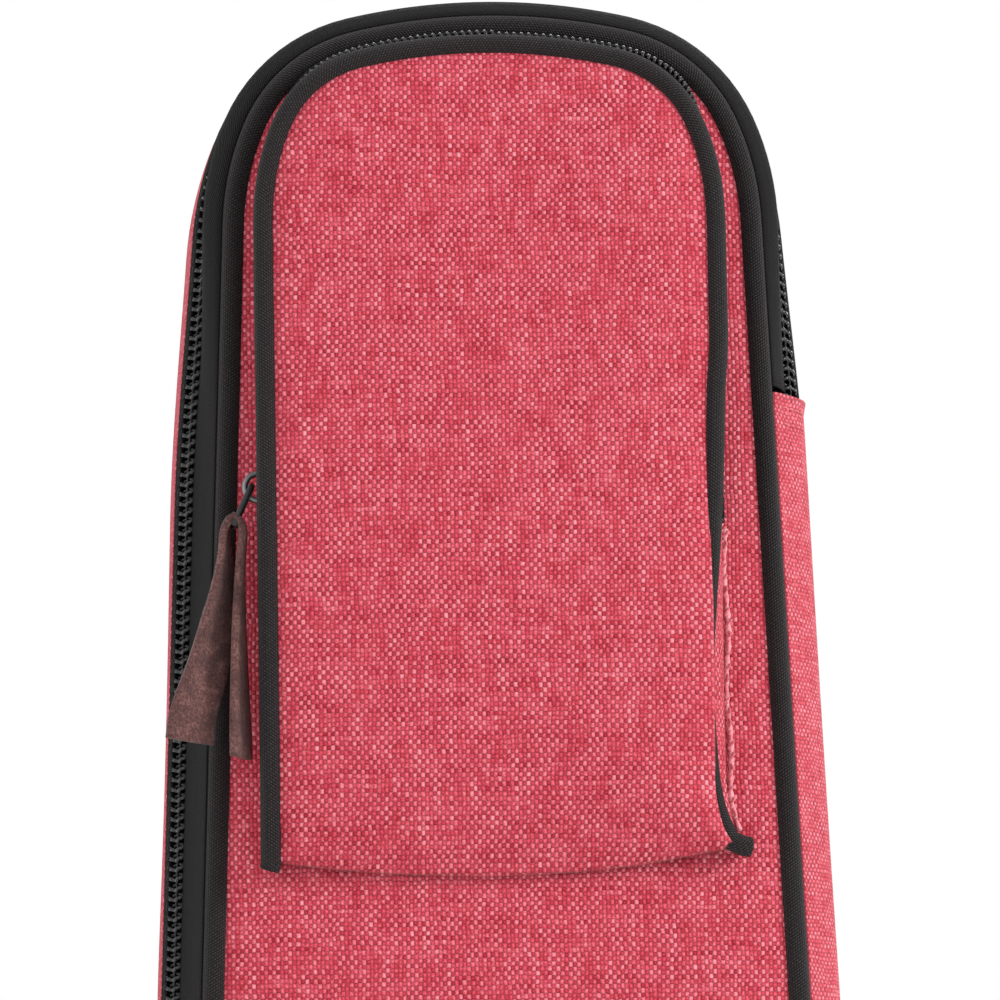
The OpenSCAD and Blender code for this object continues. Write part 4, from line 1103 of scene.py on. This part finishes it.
# ---------------------------------------------------------------- handle, loop and shoulder straps
def make_handle():
    swing = next(j for j in frame["record"]["behaviour"]["joints"] if j["name"] == "handle_swing")
    middle, along = np.array(swing["pos_m"]), np.array(swing["axis"])
    out = np.array([along[2], 0, -along[0]])
    half, width = 67.5 * MM, 20 * MM
    sewn = np.array([-28, -20, -10, -2]) * MM

    small = (2.6 * MM, 1.9 * MM, 0.25 * MM)

    def at(o, a):
        return middle + out * o * MM + along * a
    for sign, name in ((1, "upper"), (-1, "lower")):
        end = at(-0.2, sign * half)
        away = np.array(seam.x) + BULGE * np.sin(np.radians(seam.h)) - end[0]
        s = seam.s[int(np.argmin(np.hypot(away, np.array(seam.z) - end[2])))] + sewn * sign
        _, _, nx, nz = seam.sample(s)
        wall = on_seam(s, BULGE + 1.3 * MM, BULGE_Y)
        rising = [at(4, sign * (half - 4.5 * MM)), at(8.6, sign * (half - 9 * MM)), at(13, sign * 51 * MM),
                  at(15, sign * 44 * MM), at(15.4, sign * 20 * MM), at(15.6, sign * -0.3 * MM)]
        line = smooth_line(np.concatenate([wall, rising]))
        bend = ("root", "handle", tuple(at(0, sign * (half + 1 * MM))), tuple(at(8, sign * (half - 11 * MM))))
        strap = ribbon(f"handle_webbing_{name}", line, (0, 1, 0), width, 1.7 * MM)
        nodes = ["handle_webbing", "handle_patches"] if sign > 0 else []
        finish(strap, WEBBING, blend=bend, nodes=nodes)
        seat = smooth_line(wall[:3] + np.stack([nx, 0 * nx, nz], 1)[:3] * 0.9 * MM, 1 * MM)
        normal = np.array([nx[1], 0, nz[1]])
        for k, y in enumerate((-7.5, 7.5)):
            row = seat + [0, y * MM, 0]
            sew(f"handle_stitches_{name}_{k + 1}", row, normal, "root", *small, slot="webbing")
        for k, p in enumerate((seat[0], seat[-1])):
            row = p + np.linspace(-7.5, 7.5, 9)[:, None] * np.array([0, 1, 0]) * MM
            sew(f"handle_bar_{name}_{k + 1}", row, normal, "root", *small, slot="webbing")
    rings, cloth = [], []
    spots = np.concatenate([[-44, -43.6, -42.6], np.linspace(-40, 40, 41), [42.6, 43.6, 44]])
    a = angles(40)
    for spot in spots:
        end = max(0.0, abs(spot) - 40) / 4
        size = math.sqrt(max(0, 1 - end ** 2)) * 0.35 + 0.65
        wrap = 1 + 0.012 * math.sin(spot * 0.9)
        wide = 13.6 * MM * size * wrap * squared(np.cos(a), 0.6)
        thick = 3.3 * MM * size * wrap * squared(np.sin(a), 0.75)
        centre = at(15.5, spot * MM)
        rings.append(centre + wide[:, None] * np.array([0, 1, 0]) + thick[:, None] * out)
        cloth.append(np.stack([np.full(40, spot * MM), a * 8 * MM, 0 * a], 1))
    finish(loft("handle_wrap", rings, cloth), GRIP, "handle", ["handle_grip"])
    for k, y in enumerate((-11.4, 11.4)):
        row = np.array([at(18.7, a * MM) + [0, y * MM, 0] for a in np.linspace(-38, 38, 40)])
        sew(f"handle_wrap_stitches_{k + 1}", row, out, "handle", 3 * MM, 2.2 * MM, 0.25 * MM, slot="webbing")


def pad(name, line, width, thick, material, nodes=(), quilt=0.0):
    """A padded strap that lies on the back, along a line of (x, z), with its inner face at y0."""
    y0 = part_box("strap_pads")[0].y + 0.35 * MM
    p = smooth_line([(x, y0 + thick / 2, z) for x, z in line], 2 * MM)
    d = lengths(p)
    tangent, _, _ = frames(p)
    across = np.stack([tangent[:, 2], 0 * tangent[:, 0], -tangent[:, 0]], 1)
    a = angles(44)
    rings, cloth = [], []
    for i in range(len(p)):
        near = min(d[i], d[-1] - d[i])
        end = math.sqrt(max(0.0, 1 - max(0.0, 1 - near / (6 * MM)) ** 2))
        wide = width / 2 * (0.82 + 0.18 * end) * squared(np.cos(a), 0.55)
        plump = (0.5 + 0.5 * end) * (1 - quilt * abs(math.cos(d[i] * math.pi / (26 * MM))) ** 14)
        height = np.maximum(thick / 2 * plump * squared(np.sin(a), 0.6), -thick / 2 * 0.9)
        rings.append(p[i] + wide[:, None] * across[i] + height[:, None] * np.array([0, 1, 0]))
        cloth.append(np.stack([wide + 0.1, np.full(44, d[i]), 0 * wide], 1))
    finish(loft(name, rings, cloth), material, "root", nodes)
    return p, across


def webbing(name, line, across, width, thickness, nodes):
    finish(ribbon(name, smooth_line(line), across, width, thickness), WEBBING, "root", nodes)


def cross_row(middle, half, y, z, n=9):
    """A row of points across the back, for the stitches there."""
    return np.array([(x, y, z) for x in np.linspace(middle - half, middle + half, n)])


BACKWARD = (0, 1, 0)


def make_straps():
    lock_low, lock_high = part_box("ladder_locks")
    pad_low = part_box("strap_pads")[0]
    yoke_low, yoke_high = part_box("strap_yoke")
    end_low, end_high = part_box("strap_end_webbing")
    web_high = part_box("lower_webbing")[1]
    anchor_low, anchor_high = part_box("strap_anchors")
    x_strap = (end_high.x + web_high.x) / 2 - 9.75 * MM
    z_low, z_top = pad_low.z, yoke_low.z - 5 * MM
    shape = [(0.29, 1), (0.52, 0.75), (0.76, 0.47), (0.95, 0.2), (1, 0.06), (1, 0)]
    for sign, name in ((-1, "left"), (1, "right")):
        line = [(sign * x_strap * x, z_low + (z_top - z_low) * f) for x, f in shape]
        p, across = pad(f"shoulder_pad_{name}", line, 31.5 * MM, 6.6 * MM, CLOTH,
                        ["strap_pads"] if sign < 0 else [], quilt=0.18)
        inner = p[2:-2]
        for k, edge in enumerate((-1, 1)):
            rim = inner + across[2:-2] * edge * 15.3 * MM
            finish(tube(f"shoulder_binding_{name}_{k + 1}", rim, 1.5 * MM, 10), PIPING, "root")
            row = inner + across[2:-2] * edge * 12.2 * MM + np.array([0, 3.1 * MM, 0])
            sew(f"shoulder_stitches_{name}_{k + 1}", row, BACKWARD, "root")
        y_web = end_low.y + 0.8 * MM
        x = sign * x_strap
        tail = [(1, z_low + 5 * MM), (0, z_low - 1 * MM), (0.3, lock_high.z + 1 * MM),
                (1.5, lock_high.z - 4 * MM)]
        low = [(1.8, lock_low.z + 7 * MM), (1.2, lock_low.z + 1 * MM), (0, lock_low.z - 3 * MM),
               (-0.3, anchor_high.z), (-0.4, anchor_high.z - 9 * MM)]
        for part, path, width, node in (("tail", tail, 19.6 * MM, "strap_end_webbing"),
                                        ("lower", low, 18.6 * MM, "lower_webbing")):
            line = [(x, y_web + lift * MM, z) for lift, z in path]
            webbing(f"strap_{part}_{name}", line, (1, 0, 0), width, 1.6 * MM, [node] if sign < 0 else [])
        line = [(x, anchor_high.z), (x, anchor_low.z)]
        nodes = ["strap_anchors"] if sign < 0 else []
        pad(f"strap_anchor_{name}", line, 29 * MM, 4.4 * MM, CLOTH, nodes)
        row = cross_row(x, 9 * MM, anchor_low.y + 4.75 * MM, anchor_high.z - 6 * MM)
        sew(f"anchor_stitches_{name}", row, BACKWARD, "root", 2.4 * MM, 1.8 * MM)
    z_mid = (yoke_low.z + yoke_high.z) / 2
    line = [(yoke_low.x, z_mid), (0, z_mid + 0.5 * MM), (yoke_high.x, z_mid)]
    pad("strap_yoke_cover", line, 29 * MM, 4.1 * MM, WEBBING, ["strap_yoke"])
    for k, dz in enumerate((-11.5, 11.5)):
        row = cross_row(0, 30 * MM, yoke_low.y + 4.5 * MM, z_mid + dz * MM, 30)
        sew(f"yoke_stitches_{k + 1}", row, BACKWARD, "root", slot="webbing")


def make_hang_loop():
    low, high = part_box("hang_loop")
    z = (low.z + high.z) / 2
    y = low.y + 1.2 * MM
    bow = [(0, y + lift * MM, z + dz * MM) for lift, dz in ((0, -12), (4.6, -8), (6.4, 0), (4.6, 8), (0, 12))]
    line = [(0, y, low.z), *bow, (0, y, high.z)]
    webbing("hang_loop_webbing", line, (1, 0, 0), 19.6 * MM, 1.6 * MM, ["hang_loop"])
    for k, dz in enumerate((-20, -14, 14, 20)):
        row = cross_row(0, 8 * MM, y + 0.85 * MM, z + dz * MM)
        sew(f"loop_stitches_{k + 1}", row, BACKWARD, "root", 2.2 * MM, 1.7 * MM, slot="webbing")


def make_neck_rest():
    low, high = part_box("neck_rest")
    half, y0, y1 = high.x, low.y, high.y
    side, floor, radius = 26 * MM, y0 + 18 * MM, 13.6 * MM
    arc = [(-radius * math.cos(t), floor + radius * math.sin(t)) for t in np.linspace(0, math.pi, 15)]
    left = [(-half, y1), (-half, y0 + 6 * MM), (-half + 1 * MM, y0 + 2 * MM), (-half + 4 * MM, y0),
            (-side - 4 * MM, y0), (-side - 1 * MM, y0 + 1 * MM), (-side, y0 + 4 * MM),
            (-side + 1 * MM, floor - 1 * MM)]
    outline = np.array([*left, *arc, *[(-x, y) for x, y in left[::-1]]])
    centre = np.array([0, y1])
    rings, cloth = [], []
    for f in np.linspace(0, 1, 15):
        end = max(0.0, abs(2 * f - 1) - 0.86) / 0.14
        shrink = 1 - 0.05 * end ** 2
        p = centre + (outline - centre) * [shrink, 1 - 0.06 * end ** 2]
        z = low.z + (high.z - low.z) * f
        y = p[:, 1] + ripple(p[:, 0] * 3, p[:, 1] * 3 + z, 0.3 * MM)
        rings.append(np.stack([p[:, 0], y, 0 * y + z], 1))
        cloth.append(np.stack([np.arange(len(p)) * 3 * MM, 0 * y + z, 0 * y], 1))
    finish(loft("neck_cradle", rings, cloth), LINING, "root", ["neck_rest"])
    s_low, s_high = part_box("neck_strap")
    z, y = (s_low.z + s_high.z) / 2, (s_low.y + s_high.y) / 2
    line = [(s_low.x, y + 0.4 * MM, z), (s_low.x / 2, y, z), (0, y - 1.0 * MM, z), (s_high.x / 2, y, z),
            (s_high.x, y + 0.4 * MM, z)]
    webbing("neck_keeper_strap", line, (0, 0, 1), 19.6 * MM, 1.5 * MM, ["neck_strap"])


def paint_frame():
    """The CAD pieces that stay: the hard parts."""
    kept = {"pocket_slider": NICKEL, "main_slider": NICKEL, "pocket_link": BLACK_METAL,
            "main_link": BLACK_METAL, "ladder_locks": PLASTIC}
    for name, material in kept.items():
        obj = frame["nodes"][name]
        obj.data.materials.clear()
        obj.data.materials.append(material)
        soften = obj.modifiers.new("softened_edges", "BEVEL")
        soften.width = 0.5 * MM if name == "ladder_locks" else 0.22 * MM
        soften.segments, soften.limit_method, soften.angle_limit = 2, "ANGLE", math.radians(40)
        obj.data.shade_smooth()


make_pocket()
make_pocket_zip()
make_gussets()
make_pull("pocket_leather_pull", "pocket_link", "pocket_pull", "pocket_pull", (-1, 0), 1.0)
make_pull("main_leather_pull", "main_link", "main_pull", "main_pull", (0.917, -0.40), 0.35)
make_thread_tail()
make_handle()
make_straps()
make_hang_loop()
make_neck_rest()
paint_frame()


# ---------------------------------------------------------------- camera, light, floor
def make_stage():
    distance, azimuth, elevation, roll = 1.5, -3.0, -8.5, 1.05
    target = Vector((0.0005, Y_FRONT, 0.5408))
    look = Vector((-sin_d(azimuth) * cos_d(elevation), cos_d(azimuth) * cos_d(elevation), -sin_d(elevation)))
    camera = bpy.data.objects.new("camera", bpy.data.cameras.new("camera"))
    camera.data.lens, camera.data.sensor_width = 270, 36
    camera.data.clip_start, camera.data.clip_end = 0.05, 50
    camera.location = target - look * distance
    turn = look.to_track_quat("-Z", "Y").to_matrix().to_4x4()
    tilt = Matrix.Rotation(math.radians(-roll), 4, "Z")
    camera.matrix_world = Matrix.Translation(camera.location) @ turn @ tilt
    bpy.context.scene.collection.objects.link(camera)
    bpy.context.scene.camera = camera

    def lamp(name, place, aim, power, size):
        light = bpy.data.lights.new(name, "AREA")
        light.energy, light.size = power, size
        obj = bpy.data.objects.new(name, light)
        obj.location = place
        obj.rotation_euler = (Vector(aim) - Vector(place)).to_track_quat("-Z", "Y").to_euler()
        bpy.context.scene.collection.objects.link(obj)
    lamp("key", (1.9, -0.9, 1.3), (0, 0, 0.45), 32, 0.7)
    lamp("fill", (-1.7, -1.2, 1.0), (0, 0, 0.4), 7, 1.2)
    lamp("back_light", (0.3, 1.9, 1.5), (0, 0, 0.4), 14, 1.0)
    world = bpy.data.worlds.new("studio")
    world.use_nodes = True
    world.node_tree.nodes["Background"].inputs["Color"].default_value = (1, 1, 1, 1)
    world.node_tree.nodes["Background"].inputs["Strength"].default_value = 1.0
    bpy.context.scene.world = world
    bpy.context.scene.view_settings.view_transform = "Standard"

    floor = make_mesh("floor", [(-6, -6, 0), (6, -6, 0), (6, 6, 0), (-6, 6, 0)], [(0, 1, 2, 3)], smooth=False)
    paint = Paint("pale_floor", 0.7, (0.82, 0.82, 0.81))
    paint.bump(paint.noise(paint.place(), 60, 3), 0.4 * MM, 0.2)
    floor.data.materials.append(paint.mat)


make_stage()
